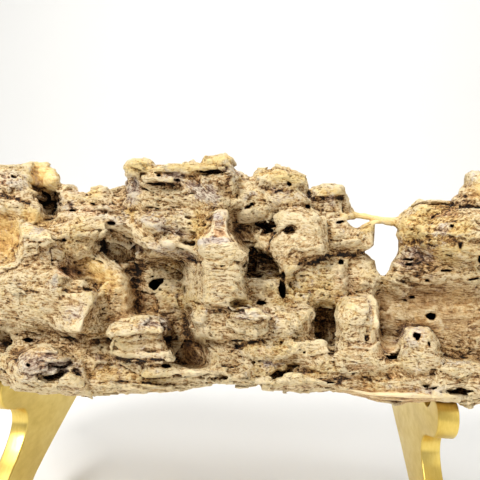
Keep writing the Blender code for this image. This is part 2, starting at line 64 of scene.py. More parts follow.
def drop(p):
    """Places in space (mm) back to sheet position and depth."""
    d = p - EYE
    a = d @ FWD
    return MID + FOCUS * (d @ RIGHT) / a, MID - FOCUS * (d @ UP) / a, p[:, 1]


# ---- the volume ---------------------------------------------------------------------
STEP_UV = 1.1
STEP_Y = 0.85
U = np.arange(-96.0, 580.0, STEP_UV, dtype=np.float32)
V = np.arange(146.0, 420.0, STEP_UV, dtype=np.float32)
Y = np.arange(-44.0, 72.0, STEP_Y, dtype=np.float32)
FAR = 12.0
D = np.full((len(U), len(V), len(Y)), FAR, np.float32)
PAD = 7.0


def scale_at(y):
    return (y - EYE[1]) / FOCUS


def window(lo_u, hi_u, lo_v, hi_v, lo_y, hi_y):
    def span(axis, lo, hi):
        a, b = np.searchsorted(axis, lo), np.searchsorted(axis, hi)
        return slice(max(0, a - 1), min(len(axis), b + 1))
    return span(U, lo_u, hi_u), span(V, lo_v, hi_v), span(Y, lo_y, hi_y)


def outline_distance(points, u, v):
    """Signed distance on the sheet to a closed outline, negative inside."""
    pu, pv = u[:, None], v[None, :]
    best = np.full((len(u), len(v)), 1e9, np.float32)
    inside = np.zeros((len(u), len(v)), bool)
    n = len(points)
    for i in range(n):
        (ax, ay), (bx, by) = points[i], points[(i + 1) % n]
        ex, ey = bx - ax, by - ay
        wx, wy = pu - ax, pv - ay
        t = np.clip((wx * ex + wy * ey) / (ex * ex + ey * ey + 1e-9), 0, 1)
        best = np.minimum(best, (wx - ex * t) ** 2 + (wy - ey * t) ** 2)
        if ay != by:
            crosses = ((ay > pv) != (by > pv)) & (pu < ex * (pv - ay) / (by - ay) + ax)
            inside ^= crosses
    best = np.sqrt(best)
    return np.where(inside, -best, best)


def smooth_min(a, b, k):
    h = np.maximum(k - np.abs(a - b), 0) / k
    return np.minimum(a, b) - h * h * k * 0.25


def block_field(points, y0, y1, r, dome, tilt, win):
    su, sv, sy = win
    u, v, y = U[su], V[sv], Y[sy]
    flat = outline_distance(points, u, v)
    s = scale_at((y0 + y1) / 2 if y1 - y0 < 30 else y0 + 8)
    d2 = flat * s
    cu = sum(p[0] for p in points) / len(points)
    cv = sum(p[1] for p in points) / len(points)
    front = y0 + tilt[0] * (u[:, None] - cu) + tilt[1] * (v[None, :] - cv)
    if dome:
        deep = max(1e-3, -float(d2.min()))
        front = front + dome * (1 - np.clip(-d2 / (0.75 * deep), 0, 1)) ** 2
    a = (front[:, :, None] - y[None, None, :])
    b = (y - y1)[None, None, :]
    dz = np.maximum(a, b)
    d2 = d2[:, :, None]
    r = min(r, max(0.2, -float(d2.min()) * 0.8), (y1 - y0) * 0.45)
    q0, q1 = np.maximum(d2 + r, 0), np.maximum(dz + r, 0)
    return np.minimum(np.maximum(d2 + r, dz + r), 0) + np.sqrt(q0 * q0 + q1 * q1) - r


def outline_window(points, y0, y1, pad=PAD):
    us, vs = [p[0] for p in points], [p[1] for p in points]
    m = pad / 0.45
    return window(min(us) - m, max(us) + m, min(vs) - m, max(vs) + m, y0 - pad, y1 + pad)


def add_block(points, y0, y1, r=4, dome=0, tilt=(0, 0), k=1.6):
    win = outline_window(points, y0 - 4, y1 + 4)
    D[win] = smooth_min(D[win], block_field(points, y0, y1, r, dome, tilt, win), k)


def cut_block(points, y0, y1, r=2, k=1.4):
    """A hollow that runs from the front (y0) to the back wall at y1."""
    win = outline_window(points, y0, y1)
    D[win] = -smooth_min(-D[win], block_field(points, y0, y1, r, 0, (0, 0), win), k)


def ball_field(u0, v0, y0, ru, rv, ry, turn, win):
    su, sv, sy = win
    s = scale_at(y0)
    a = math.radians(turn)
    du, dv = (U[su] - u0)[:, None], (V[sv] - v0)[None, :]
    x = (du * math.cos(a) + dv * math.sin(a)) / ru
    z = (-du * math.sin(a) + dv * math.cos(a)) / rv
    w = ((Y[sy] - y0) / ry)[None, None, :]
    length = np.sqrt((x * x + z * z)[:, :, None] + w * w)
    return (length - 1) * min(ru * s, rv * s, ry)


def ball_window(u0, v0, y0, ru, rv, ry):
    r = max(ru, rv) + PAD / 0.45
    return window(u0 - r, u0 + r, v0 - r, v0 + r, y0 - ry - PAD, y0 + ry + PAD)


def add_ball(u0, v0, y0, ru, rv, ry, turn=0, k=2.0):
    win = ball_window(u0, v0, y0, ru, rv, ry)
    D[win] = smooth_min(D[win], ball_field(u0, v0, y0, ru, rv, ry, turn, win), k)


def cut_ball(u0, v0, y0, ru, rv, ry, turn=0, k=1.0):
    win = ball_window(u0, v0, y0, ru, rv, ry)
    D[win] = -smooth_min(-D[win], ball_field(u0, v0, y0, ru, rv, ry, turn, win), k)


def limb_field(a, b, ra, rb, win):
    su, sv, sy = win
    s = scale_at((a[2] + b[2]) / 2)
    du, dv = (U[su] - a[0])[:, None, None] * s, (V[sv] - a[1])[None, :, None] * s
    dy = (Y[sy] - a[2])[None, None, :]
    eu, ev, ey = (b[0] - a[0]) * s, (b[1] - a[1]) * s, b[2] - a[2]
    t = np.clip((du * eu + dv * ev + dy * ey) / (eu * eu + ev * ev + ey * ey + 1e-9), 0, 1)
    r = (ra + (rb - ra) * t) * s
    return np.sqrt((du - eu * t) ** 2 + (dv - ev * t) ** 2 + (dy - ey * t) ** 2) - r


def add_limb(joints, k=1.0):
    """A branch or a rib: (u, v, depth, radius in sheet units) at each joint."""
    for a, b in zip(joints, joints[1:]):
        m = max(a[3], b[3]) + PAD / 0.45
        win = window(min(a[0], b[0]) - m, max(a[0], b[0]) + m, min(a[1], b[1]) - m, max(a[1], b[1]) + m,
                     min(a[2], b[2]) - PAD - 3, max(a[2], b[2]) + PAD + 3)
        D[win] = smooth_min(D[win], limb_field(a, b, a[3], b[3], win), k)


def cut_limb(joints, k=0.8):
    """A groove or a gallery along joints."""
    for a, b in zip(joints, joints[1:]):
        m = max(a[3], b[3]) + PAD / 0.45
        win = window(min(a[0], b[0]) - m, max(a[0], b[0]) + m, min(a[1], b[1]) - m, max(a[1], b[1]) + m,
                     min(a[2], b[2]) - PAD - 3, max(a[2], b[2]) + PAD + 3)
        D[win] = -smooth_min(-D[win], limb_field(a, b, a[3], b[3], win), k)


# ---- the wood: masses --------------------------------------------------------------
# outline, front depth, back depth, rounding, doming of the front, lean of the front (mm per sheet unit), blend
MASSES = [
    # the body that everything stands on
    ([(-62, 252), (-44, 226), (-18, 208), (20, 212), (57, 206), (90, 204), (125, 200), (160, 196), (240, 196), (300, 208),
      (330, 226), (345, 252), (345, 386), (240, 382), (100, 388), (10, 384), (-34, 377), (-60, 352), (-68, 300)],
     6, 53, 9, 0, (0, 0), 3),
    ([(330, 258), (352, 252), (366, 255), (373, 262), (377, 272), (382, 278), (388, 272), (394, 262), (420, 226), (460, 212),
      (505, 214), (536, 250), (550, 300), (540, 350), (516, 386), (480, 397), (400, 396), (340, 388)],
     11, 51, 8, -2, (0, -0.03), 3),
    # upper left
    ([(-40, 196), (-24, 178), (-5, 168), (10, 167.6), (24, 166.5), (30.5, 166), (33, 178), (36, 190), (40, 200), (43, 212),
      (40, 226), (22, 226), (14, 214), (0, 213), (-30, 222)], -8, 38, 3, 3, (0.04, -0.05), 2),
    ([(-36, 198), (-10, 195), (10, 197), (28, 200), (42, 206), (43, 214), (40, 226), (24, 226), (14, 215), (0, 213), (-30, 218)],
     -12, 20, 2.5, 2, (0.02, 0), 1.2),
    ([(28, 168), (34, 166), (46, 165.6), (50, 172), (54, 181), (57, 188), (56, 195), (51, 200), (40, 199), (31, 186)],
     8, 34, 6, 4, (0, 0), 1.5),
    ([(58, 199), (60, 190), (65, 187), (71, 187.5), (76, 191), (81, 193), (86, 198), (91, 207), (90, 226), (60, 226),
      (55, 212)], -2, 34, 4, 3, (0, -0.06), 2),
    ([(86, 200), (93, 191), (99.5, 189), (107, 192), (112, 195), (121, 204), (124, 228), (90, 228)], -1, 36, 4, 3, (0, -0.08), 2),
    ([(111, 198), (120, 190.5), (127, 186), (133, 188), (136, 210), (132, 228), (112, 226)], 8, 38, 4, 2, (0, -0.05), 2),
    # the amber face at the left
    ([(-44, 208), (6, 212), (42, 211), (41, 224), (24, 224), (15, 244), (8, 262), (-30, 266), (-50, 240)],
     -8, 30, 5, -2, (0.05, -0.05), 4),
    # what closes the hollow under the knob
    ([(26, 184), (40, 189), (52, 193), (62, 196), (66, 216), (48, 224), (28, 222)], 13, 40, 3, 0, (0, 0), 1.5),
    # the crown
    ([(126.5, 167), (130, 163), (135, 162), (148, 162), (153, 166.5), (163, 168), (169, 165), (180, 165.5), (193, 162.5),
      (201, 164.5), (206, 158), (216, 157.5), (225, 155.5), (229.5, 160), (234, 170), (240, 173.5), (244, 178), (250, 181.5),
      (256, 190), (252, 215), (236, 228), (200, 240), (150, 240), (132, 228), (128, 206), (129, 184), (128.5, 171)],
     3, 44, 4, 2, (0, -0.03), 2),
    ([(132, 181), (150, 178), (166, 178), (178, 184), (196, 190), (214, 196), (226, 204), (214, 214), (200, 232), (170, 236),
      (140, 232), (128, 222), (127, 200)], -7, 20, 4, 4, (0, -0.05), 2.5),
    ([(127, 166), (136, 162), (148, 162), (154, 167), (170, 166), (193, 163), (206, 165), (203, 170), (180, 171.5), (160, 172),
      (140, 172), (128, 175)], -11, 20, 1.2, 0, (0, -0.1), 0.8),
    ([(143, 177), (158, 175.5), (174, 177), (177, 182.5), (160, 184), (144, 183.5)], -13.5, 10, 1.4, 0.5, (0, -0.1), 0.8),
    ([(203, 165), (206, 158), (216, 157.5), (225, 155.5), (229.5, 160), (234, 171), (240, 178), (232, 192), (222, 187),
      (212, 179)], -11, 26, 2.0, 1, (0.1, 0), 1.0),
    ([(166, 188), (190, 186), (214, 190), (232, 196), (240, 204), (228, 212), (200, 210), (172, 204)], -10, 16, 3.5, 3, (0, 0), 2),
    ([(190, 166), (208, 165), (224, 167), (226, 170.5), (208, 171), (191, 171)], -14, 10, 1, 0, (0, -0.1), 0.6),
    ([(200, 174), (214, 173), (222, 180), (220, 190), (208, 192), (199, 184)], -12, 10, 3, 2, (0, 0), 1.5),
    ([(178, 176), (188, 180), (204, 190), (222, 199), (230, 204), (218, 206), (198, 198), (182, 188)], -11, 10, 2, 0.5, (0, -0.15), 1.5),
    ([(130, 190), (150, 188), (160, 196), (158, 208), (140, 212), (129, 206)], -9, 14, 4, 3, (0, 0), 2),
    ([(136, 212), (160, 208), (190, 212), (206, 224), (200, 238), (176, 240), (150, 232), (134, 226)], -12, 14, 4, 3, (0, 0), 2),
    # slope between the crests and the left wedge
    ([(44, 228), (57, 212), (75, 205), (100, 206), (116, 214), (122, 232), (112, 238), (103, 246), (92, 256), (80, 264),
      (66, 262), (50, 244)], -12, 24, 5, 5, (0.02, -0.08), 2.5),
    ([(56, 226), (72, 220), (92, 220), (110, 226), (112, 236), (96, 242), (74, 246), (58, 240)], -15, 10, 4, 4, (0.03, -0.04), 2),
    # the left wedge
    ([(19, 224), (30, 221), (42, 229), (56, 236), (66, 246), (68, 258), (62, 264), (62, 274), (72, 282), (92, 292), (91, 304),
      (83, 318), (73, 332), (66, 334), (60, 332), (56, 329), (30, 328), (6, 328), (-16, 326), (-40, 316), (-54, 292),
      (-40, 268), (-8, 263), (4, 258), (13, 240)], -24, 20, 5, 7, (0.0, -0.05), 2),
    ([(16, 262), (40, 258), (60, 266), (84, 286), (88, 300), (74, 318), (40, 316), (6, 314), (-20, 306), (-30, 284)],
     -27, 6, 5, 6, (0, -0.03), 2.5),
    ([(86, 296), (104, 290), (118, 304), (116, 324), (98, 331), (76, 331)], -15, 20, 3, 0, (0.5, 0), 1.5),
    ([(54, 304), (72, 296), (90, 294), (92, 301), (85, 316), (78, 329), (66, 331), (56, 328)], -28, -6, 0.8, 0, (-0.2, 0), 2.0),
    ([(11, 240), (16, 229), (22, 221), (28, 224), (38, 228), (50, 236), (58, 243), (44, 247), (26, 246), (12, 246)],
     -25, 0, 2, 1, (0, -0.2), 1.5),
    ([(47, 280), (55, 271), (64, 274), (68, 281), (60, 290), (50, 288)], -30, 0, 0.8, 0, (0, 0.15), 1.2),
    # the diagonal ridge and the hood of the tunnel
    ([(78, 262), (88, 252), (100, 252), (112, 258), (122, 266), (130, 276), (134, 290), (135, 306), (136, 322), (124, 332),
      (106, 330), (98, 316), (96, 304), (92, 294), (84, 284), (76, 274)], -8, 20, 8, 2, (0, 0), 6),
    ([(100, 240), (106, 233), (118, 230), (130, 234), (138, 246), (134, 256), (124, 248), (112, 240), (104, 246)],
     -11, 20, 3.5, 2, (0, 0), 3),
    # the shelf over the alcove
    ([(124, 232), (140, 226), (160, 230), (180, 236), (196, 244), (207, 255), (206, 263), (196, 260), (185, 257), (165, 258),
      (150, 260), (138, 257), (128, 250)], -15, 18, 3, 3, (0, -0.02), 1.5),
    ([(160, 238), (180, 240), (198, 250), (205, 258), (196, 258), (176, 252), (160, 248)], -18, 10, 2.5, 2, (0, 0), 1.2),
    ([(184, 258), (206, 248), (207, 304), (186, 308)], -15, 14, 4, 0, (-0.9, 0), 4),
    # the pillar
    ([(199, 244), (214, 241), (235, 242), (247, 255), (244.5, 268), (243.5, 285), (247, 297), (250, 306), (240, 310),
      (225, 309), (208, 305), (202, 300), (203, 285), (202, 268), (200, 256)], -29, 14, 3, 2.2, (0, 0), 1.5),
    ([(215.5, 214), (220, 210.5), (225.5, 212.5), (227.5, 222), (229, 231), (236, 243), (232, 250), (204, 250), (198, 244),
      (206, 232), (212, 222)], -22.5, 10, 1.2, 0, (0, -0.16), 1.0),
    ([(196, 303), (215, 304), (240, 308), (252, 311), (266, 317), (273, 326), (264, 336), (240, 340), (215, 344), (198, 338),
      (190, 320)], -22, 12, 4, 4, (0, -0.03), 1.5),
    ([(229, 320), (238, 314), (250, 309), (262, 311), (267, 317), (258, 320.5), (244, 320.5)], -32, -8, 0.6, 0, (0, -0.5), 0.5),
    ([(234, 324), (250, 322), (264, 322), (267, 330), (256, 337), (238, 337)], -26, 6, 1.5, 0.5, (0, 0.1), 0.8),
    ([(245, 281), (262, 279), (276, 281), (279, 296), (270, 303), (250, 300)], -12, 20, 3, 2, (0, -0.1), 2),
    # the boulder and its neighbours
    ([(270, 221), (284, 212), (300, 209), (315, 214), (322, 224), (325.5, 240), (324, 256), (314, 255), (304, 259), (296, 266),
      (287, 272), (277, 264), (269, 248), (266, 232)], -17, 20, 2.5, 3, (-0.1, 0.02), 5),
    ([(324, 216), (346, 213), (352, 226), (360, 229), (372, 224), (374.5, 234), (374, 245), (364, 251), (345, 253), (324, 257)],
     -2, 40, 3, 2, (0.04, 0), 1.2),
    ([(326, 226), (340, 226), (352, 232), (364, 236), (366, 246), (346, 250), (328, 250)], -6, 12, 4, 3, (0.05, 0), 1.5),
    ([(350, 231), (364, 223.5), (376, 220), (381, 221.5), (375, 226), (374, 236), (360, 238)], 4, 14, 1.5, 0.5, (0, 0), 0.8),
    ([(250, 190), (250, 181.5), (255, 178), (260, 172), (270.5, 171), (274.5, 167.5), (285, 167.5), (289, 173), (299.5, 174.5),
      (305, 177.5), (307, 187), (307.5, 199), (314, 207), (324, 218), (310, 216), (295, 214), (275, 216), (262, 208),
      (252, 202)], 0, 38, 5, 4, (0, -0.03), 1.8),
    ([(256, 176), (268, 172), (284, 170), (300, 176), (306, 184), (296, 190), (276, 188), (258, 186)], -5, 20, 3.5, 2, (0, 0), 1.2),
    ([(262, 192), (284, 190), (302, 194), (308, 202), (300, 208), (276, 206), (262, 202)], -6, 16, 3.5, 2, (0, 0), 1.2),
    ([(306, 206), (309, 200), (311, 194.5), (313.5, 188.5), (324, 186.7), (342.5, 186.7), (344, 196.7), (348.7, 203.6),
      (351, 210.5), (357, 214), (352, 222), (335, 224), (318, 224), (308, 216)], 4, 38, 3.5, 2, (0, -0.03), 1.5),
    ([(312, 190), (326, 187), (342, 187), (344, 194), (330, 197), (314, 198)], 0, 20, 2.5, 1, (0, 0), 1),
    ([(236, 180), (250, 183), (262, 192), (276, 206), (272, 217), (255, 219), (240, 221), (230, 210)], -5, 34, 4, 3, (0, 0), 2),
    # the porous slope under the boulder and the long run of it to the right
    ([(292, 262), (320, 258), (350, 256), (372, 262), (380, 276), (376, 292), (350, 298), (330, 306), (296, 306), (286, 290)],
     -3, 30, 4, 3, (0, -0.12), 3),
    ([(256, 236), (276, 232), (292, 262), (288, 276), (272, 268), (258, 250)], -8, 20, 6, 0, (-0.3, 0), 5),
    # below the boulder
    ([(287, 272), (297, 267), (310, 266), (322, 260), (335, 258), (346, 262), (352, 276), (352, 292), (342, 298), (336, 306),
      (320, 306), (312, 312), (300, 318), (288, 310), (287, 300), (288, 288)], -9, 24, 5, 4, (0.02, 0), 2),
    ([(262, 303), (275, 302), (290, 308), (312, 310), (313, 330), (318, 344), (326, 342), (327, 352), (329, 364), (334, 374),
      (334, 386), (300, 384), (262, 382), (238, 380), (230, 362), (240, 342), (262, 336), (271, 326)], -20, 24, 5, 5, (0.02, -0.02), 2),
    ([(296, 349), (306, 343), (318, 339.5), (327, 340), (328.5, 352), (330, 366), (312, 369), (297, 362)], -24.5, 6, 1.2, 0, (-0.14, 0), 2),
    ([(272, 316), (292, 312), (308, 318), (306, 334), (290, 340), (272, 336)], -23, 6, 5, 4, (0, 0), 2),
    ([(246, 344), (270, 342), (300, 346), (306, 356), (286, 364), (256, 366), (242, 358)], -24, 6, 5, 4, (0, 0), 2),
    ([(196, 334), (214, 342), (236, 338), (244, 350), (244, 372), (214, 374), (206, 366), (210, 352), (204, 344)],
     -18, 20, 5, 4, (0, 0), 1.5),
    # the two pillars at the right
    ([(337, 318), (341, 306), (345, 300), (352, 297.5), (365, 297.5), (371, 298.5), (376, 304), (378, 315), (379, 330),
      (379.5, 343), (382, 352), (390, 358), (399, 363), (390, 374), (360, 378), (338, 374), (332, 362), (331, 352), (336, 340),
      (337, 330)], -27, 16, 5, 5, (0, -0.06), 1.2),
    ([(376, 336), (384, 337), (392, 336), (398, 338), (397, 345), (393, 351), (387, 352), (381, 347)],
     -8, 20, 3, 1, (0.2, -0.25), 3),
    ([(397, 360), (399, 345), (400, 336), (404, 328.5), (410, 326.5), (428, 327), (433, 332), (437, 342), (441, 352),
      (447, 358), (453, 363), (440, 374), (415, 378), (398, 370), (392, 363)], -27, 8, 4.5, 4, (0, -0.06), 1.2),
    ([(438, 365), (450, 360), (470, 361), (480, 366), (505, 368), (524, 376), (524, 394), (480, 402), (445, 400), (430, 392)],
     -29, 30, 3.5, 3, (0, -0.04), 1.5),
    # the slab along the bottom
    ([(86, 374), (120, 369), (150, 367), (176, 372), (200, 373), (240, 371), (262, 373), (300, 371), (335, 373), (370, 379),
      (400, 373), (440, 371), (480, 373), (512, 378), (524, 390), (512, 401), (480, 402.5), (472.7, 404), (469.5, 406),
      (454, 402.5), (431, 401.7), (393, 401.7), (370, 399.4), (347, 393.3), (330, 389.4), (301, 388.7), (263, 388.7),
      (260, 382.6), (240, 384), (214, 384), (191, 385.6), (182, 389.4), (160.7, 392.5), (138, 391), (107, 392.5), (92, 395),
      (80, 390)], -26, 45, 4, 3, (0, -0.04), 1.5),
    ([(96, 384), (130, 381), (165, 384.5), (192, 384), (192, 386.5), (160, 388.5), (120, 387), (98, 387.5)],
     -31.5, -6, 0.6, 0, (0, -0.2), 0.5),
    ([(204, 376), (240, 373), (262, 378), (300, 376.5), (340, 383), (340, 385.5), (300, 380.5), (262, 382), (240, 378.5), (206, 379.5)],
     -30.5, -6, 0.6, 0, (0, -0.3), 0.5),
    ([(340, 386), (370, 391.5), (400, 393), (450, 394), (480, 397), (480, 399.5), (440, 398), (400, 397), (366, 395.5), (338, 389)],
     -31, -6, 0.7, 0, (0, -0.2), 0.5),
    ([(140, 372), (170, 368), (200, 371), (226, 369), (226, 372.5), (196, 375), (166, 372), (142, 376)],
     -30, -6, 0.6, 0, (0, -0.2), 0.6),
    # lower left
    ([(7, 378), (9, 364), (18, 355), (30, 348), (45, 347), (58, 350), (70, 356), (79, 362), (86, 372), (92, 384), (92, 395),
      (76.5, 394.8), (53.6, 394.8), (30.6, 393.3), (15.3, 390.2), (12, 384)], -34, 30, 6, 6, (0, 0), 1.5),
    ([(-52, 352), (-30, 344), (0, 347), (20, 350), (40, 344), (64, 346), (96, 352), (112, 362), (110, 384), (60, 388),
      (10, 386), (-34, 380)], -20, 40, 5, 4, (0, 0), 1.5),
    # the slope under the wedge
    ([(4, 329), (40, 331), (70, 332), (112, 330), (118, 352), (80, 356), (40, 352), (6, 350)], -14, 20, 3, 1, (0, -0.45), 2),
    # the mushroom
    ([(107.5, 333.5), (111.5, 325), (120, 320), (135, 319), (146, 317), (158, 319), (167, 323), (169, 329), (158, 329),
      (148, 330), (138, 333.5), (124, 335), (112, 336)], -33, -2, 1.0, 0, (0.12, -0.6), 0.5),
    ([(114, 332), (160, 328), (163, 340), (168, 351), (158, 356), (120, 354), (112, 346)], -32, 6, 3, 1, (0.12, -0.1), 2.5),
    ([(110.5, 347), (118, 350), (130, 351.5), (150, 351), (163, 351), (170, 351), (169, 356), (159, 359), (140, 359.5),
      (122, 357.5), (112, 353)], -34, 0, 1.8, 1, (0, 0), 1.5),
    # the right mass
    ([(398, 254), (398, 241), (395.5, 235), (398, 229), (396, 224), (406, 211), (420, 204.3), (433, 203), (446.5, 203),
      (451, 204), (453.5, 199), (459, 194.5), (467, 188.3), (469.5, 181), (468, 175.5), (473, 173), (484, 173), (498, 180),
      (512, 196), (526, 214), (536, 240), (528, 268), (500, 276), (470, 288), (440, 286), (415, 282), (400, 288), (388, 284),
      (384, 276), (391, 266), (397, 256)], 0, 50, 6, 4, (0, 0), 4),
    ([(414, 226), (440, 214), (462, 206), (486, 206), (510, 226), (516, 250), (496, 266), (466, 270), (436, 262), (416, 248)],
     -11, 30, 7, 6, (0, -0.03), 2.5),
    ([(384, 286), (392, 262), (420, 262), (450, 262), (480, 262), (520, 262), (524, 300), (480, 300), (440, 298), (400, 296)],
     2, 40, 8, 0, (0, 0.3), 6),
    # the back
    ([(-54, 268), (-30, 240), (8, 228), (46, 236), (66, 250), (88, 262), (80, 288), (98, 312), (88, 338), (62, 346), (30, 362),
      (-10, 352), (-40, 356), (-60, 316)], 30, 60, 7, 0, (0, 0), 2),
    ([(94, 222), (120, 224), (148, 212), (186, 216), (202, 236), (216, 252), (198, 276), (204, 296), (168, 308), (134, 296),
      (112, 300), (100, 262)], 30, 59, 6, 0, (0, 0), 2),
    ([(112, 328), (146, 318), (176, 326), (208, 312), (236, 318), (262, 310), (296, 326), (334, 344), (322, 372), (280, 378),
      (236, 372), (190, 382), (130, 376), (106, 352)], 30, 60.5, 7, 0, (0, 0), 2),
    ([(222, 226), (252, 218), (276, 232), (306, 224), (326, 244), (322, 274), (330, 296), (300, 306), (268, 298), (240, 300),
      (230, 268), (214, 248)], 30, 57, 6, 0, (0, 0), 2),
    ([(402, 268), (424, 250), (446, 252), (478, 238), (508, 252), (528, 280), (512, 306), (486, 326), (452, 318), (424, 330),
      (408, 300)], 30, 60.5, 7, 0, (0, 0), 2),
    ([(344, 330), (372, 314), (398, 318), (420, 340), (462, 336), (506, 340), (522, 366), (490, 388), (440, 384), (380, 392),
      (346, 372)], 30, 59, 7, 0, (0, 0), 2),
]
BALLS = [
    (-44, 300, 26, 30, 52, 30, 0), (528, 300, 30, 28, 60, 26, 0),
    (154, 225, -12, 11, 9, 7, 0), (221, 216.5, -16, 6, 6, 6, 0), (92, 228, -6, 34, 18, 8, 0),
    (50, 180, 12, 9, 10, 10, 0),
]

# hollows that open to the front: outline, back wall, rounding
HOLLOWS = [
    ([(33, 186), (40, 190), (48, 195), (56, 199), (61, 203), (60, 209), (54, 213), (47, 214), (41, 211), (37, 204)], 16, 2, 2.5),
    ([(144, 264), (150, 261), (165, 260), (183, 260), (190, 264), (192, 275), (192, 288), (189, 302), (180, 309), (166, 310),
      (148, 304), (143, 290)], -11, 4, 6),
    ([(229, 222), (242, 219), (262, 217), (274, 219), (278, 228), (272, 238), (262, 246), (246, 250), (238, 243), (231, 232)],
     -4, 3, 4),
    ([(252, 222), (262, 218), (272, 218), (278, 224), (276, 231), (266, 233), (256, 230)], 10, 2.5, 3),
    ([(246, 256), (252, 249), (262, 248), (272, 252), (279, 262), (283, 272), (285, 280), (281, 282), (268, 279), (256, 279),
      (248, 277)], 13, 3),
    ([(227, 301), (238, 299), (246, 302), (252, 309), (240, 309), (230, 308)], -20, 1.2, 1.5),
    ([(279, 272), (284, 273), (287, 282), (286, 292), (287, 300), (281, 300), (276, 297), (278, 288)], 6, 1.5),
    ([(311, 315), (322, 311), (338, 306), (338, 320), (337, 340), (334, 352), (329, 351), (327, 342), (318, 339),
      (313, 331)], 3, 0.8, 0.8),
    ([(381, 302), (388, 312), (396, 322), (400, 332), (396, 335), (386, 335), (381, 333)], 8, 3, 5),
    ([(383, 352), (389, 355), (396, 353), (400, 346), (402, 352), (398, 359), (390, 360), (385, 357)], 2, 1, 1),
    ([(442, 349), (450, 340), (466, 338), (482, 344), (478, 356), (454, 359), (445, 356)], 3, 7, 6),
    ([(-30, 330), (0, 330), (8, 334), (13, 339), (14, 345), (6, 349), (-24, 352)], -2, 3, 3),
    ([(263, 384), (270, 377), (277, 371), (288, 366), (298, 366), (293, 371), (294, 378), (286, 376), (278, 380), (270, 383)],
     -10, 0.6, 0.5),
    ([(161, 322), (170, 321), (173, 334), (171, 350), (166, 350), (161, 338)], -14, 2),
    ([(144, 182.8), (158, 181.6), (174, 183), (176, 185.2), (160, 186), (146, 186)], -5, 1, 2.5),
    ([(192, 171), (206, 169.8), (222, 171), (224, 173), (208, 173.2), (194, 173)], -4, 0.8, 2),
    ([(160, 364), (166, 362), (171, 366), (168, 370), (161, 369)], -12, 1.2),
    ([(405, 390), (410, 388.8), (417, 390), (410, 391.3)], -18, 0.4),
    ([(422, 388.5), (430, 386.5), (440, 385.8), (437, 389), (426, 390.5)], -18, 0.5),
    ([(446, 390.5), (458, 389), (473, 391), (462, 393), (450, 393)], -18, 0.5),
    ([(469, 280), (476, 276.5), (486, 277), (478, 280.5)], 8, 0.5),
    ([(425, 319), (427, 315), (431, 311), (433.5, 314), (437, 318), (431, 319.4)], 22, 0.4),
    ([(208, 379), (214, 375.5), (224, 375), (232, 377), (226, 381), (214, 383)], -21, 1),
    ([(238, 380), (246, 377.5), (258, 378), (262, 381), (250, 382.5)], -21, 0.8),
    ([(59, 267), (68, 265.5), (78, 267), (88, 271), (93, 275), (87, 279), (76, 278), (66, 274)], -11, 2.5, 2.5),
    ([(182, 238), (184, 239), (187, 242.5), (194, 243.5), (188, 245), (183, 243)], -8, 0.4),
    ([(350, 300.5), (354, 299), (357, 299.5), (355, 302), (352, 305), (351, 303)], -20, 0.4),
    ([(365, 336), (368, 333), (371, 333), (369, 336), (367.5, 340), (365.5, 339)], -24, 0.4),
    ([(50, 364.5), (60, 365.5), (70, 364), (68, 367.5), (58, 368.5), (51, 367)], -20, 0.5),
    ([(38, 377), (48, 376), (56, 373), (60, 370), (68, 372), (64, 376.5), (50, 379.5), (38, 379.5)], -20, 0.5),
    ([(72, 362), (77, 361), (81, 370), (82, 377), (76, 376), (73, 370)], -24, 1, 2.5),
]
# worn hollows with a rounded bottom: u, v, depth, radii, turn, blend
BOWLS = [
    (119, 248, -18, 25, 18, 27, 25, 4.0), (290, 229, -18, 6.6, 5.2, 7, 0, 0.6), (2, 238, -23, 22, 25, 17, 0, 4.0),
    (160, 258, 66, 34, 15, 13, -12, 1.0), (300, 340, 66, 40, 11, 11, 10, 1.0), (24, 318, 66, 44, 12, 11, 6, 1.0),
    (462, 286, 66, 36, 14, 13, -8, 1.0), (272, 262, 64, 16, 19, 13, 0, 1.0), (92, 290, 62, 8, 28, 12, 20, 1.0),
    (400, 350, 60, 30, 8, 10, 4, 1.0), (210, 330, 62, 26, 7, 9, -6, 1.0),
]
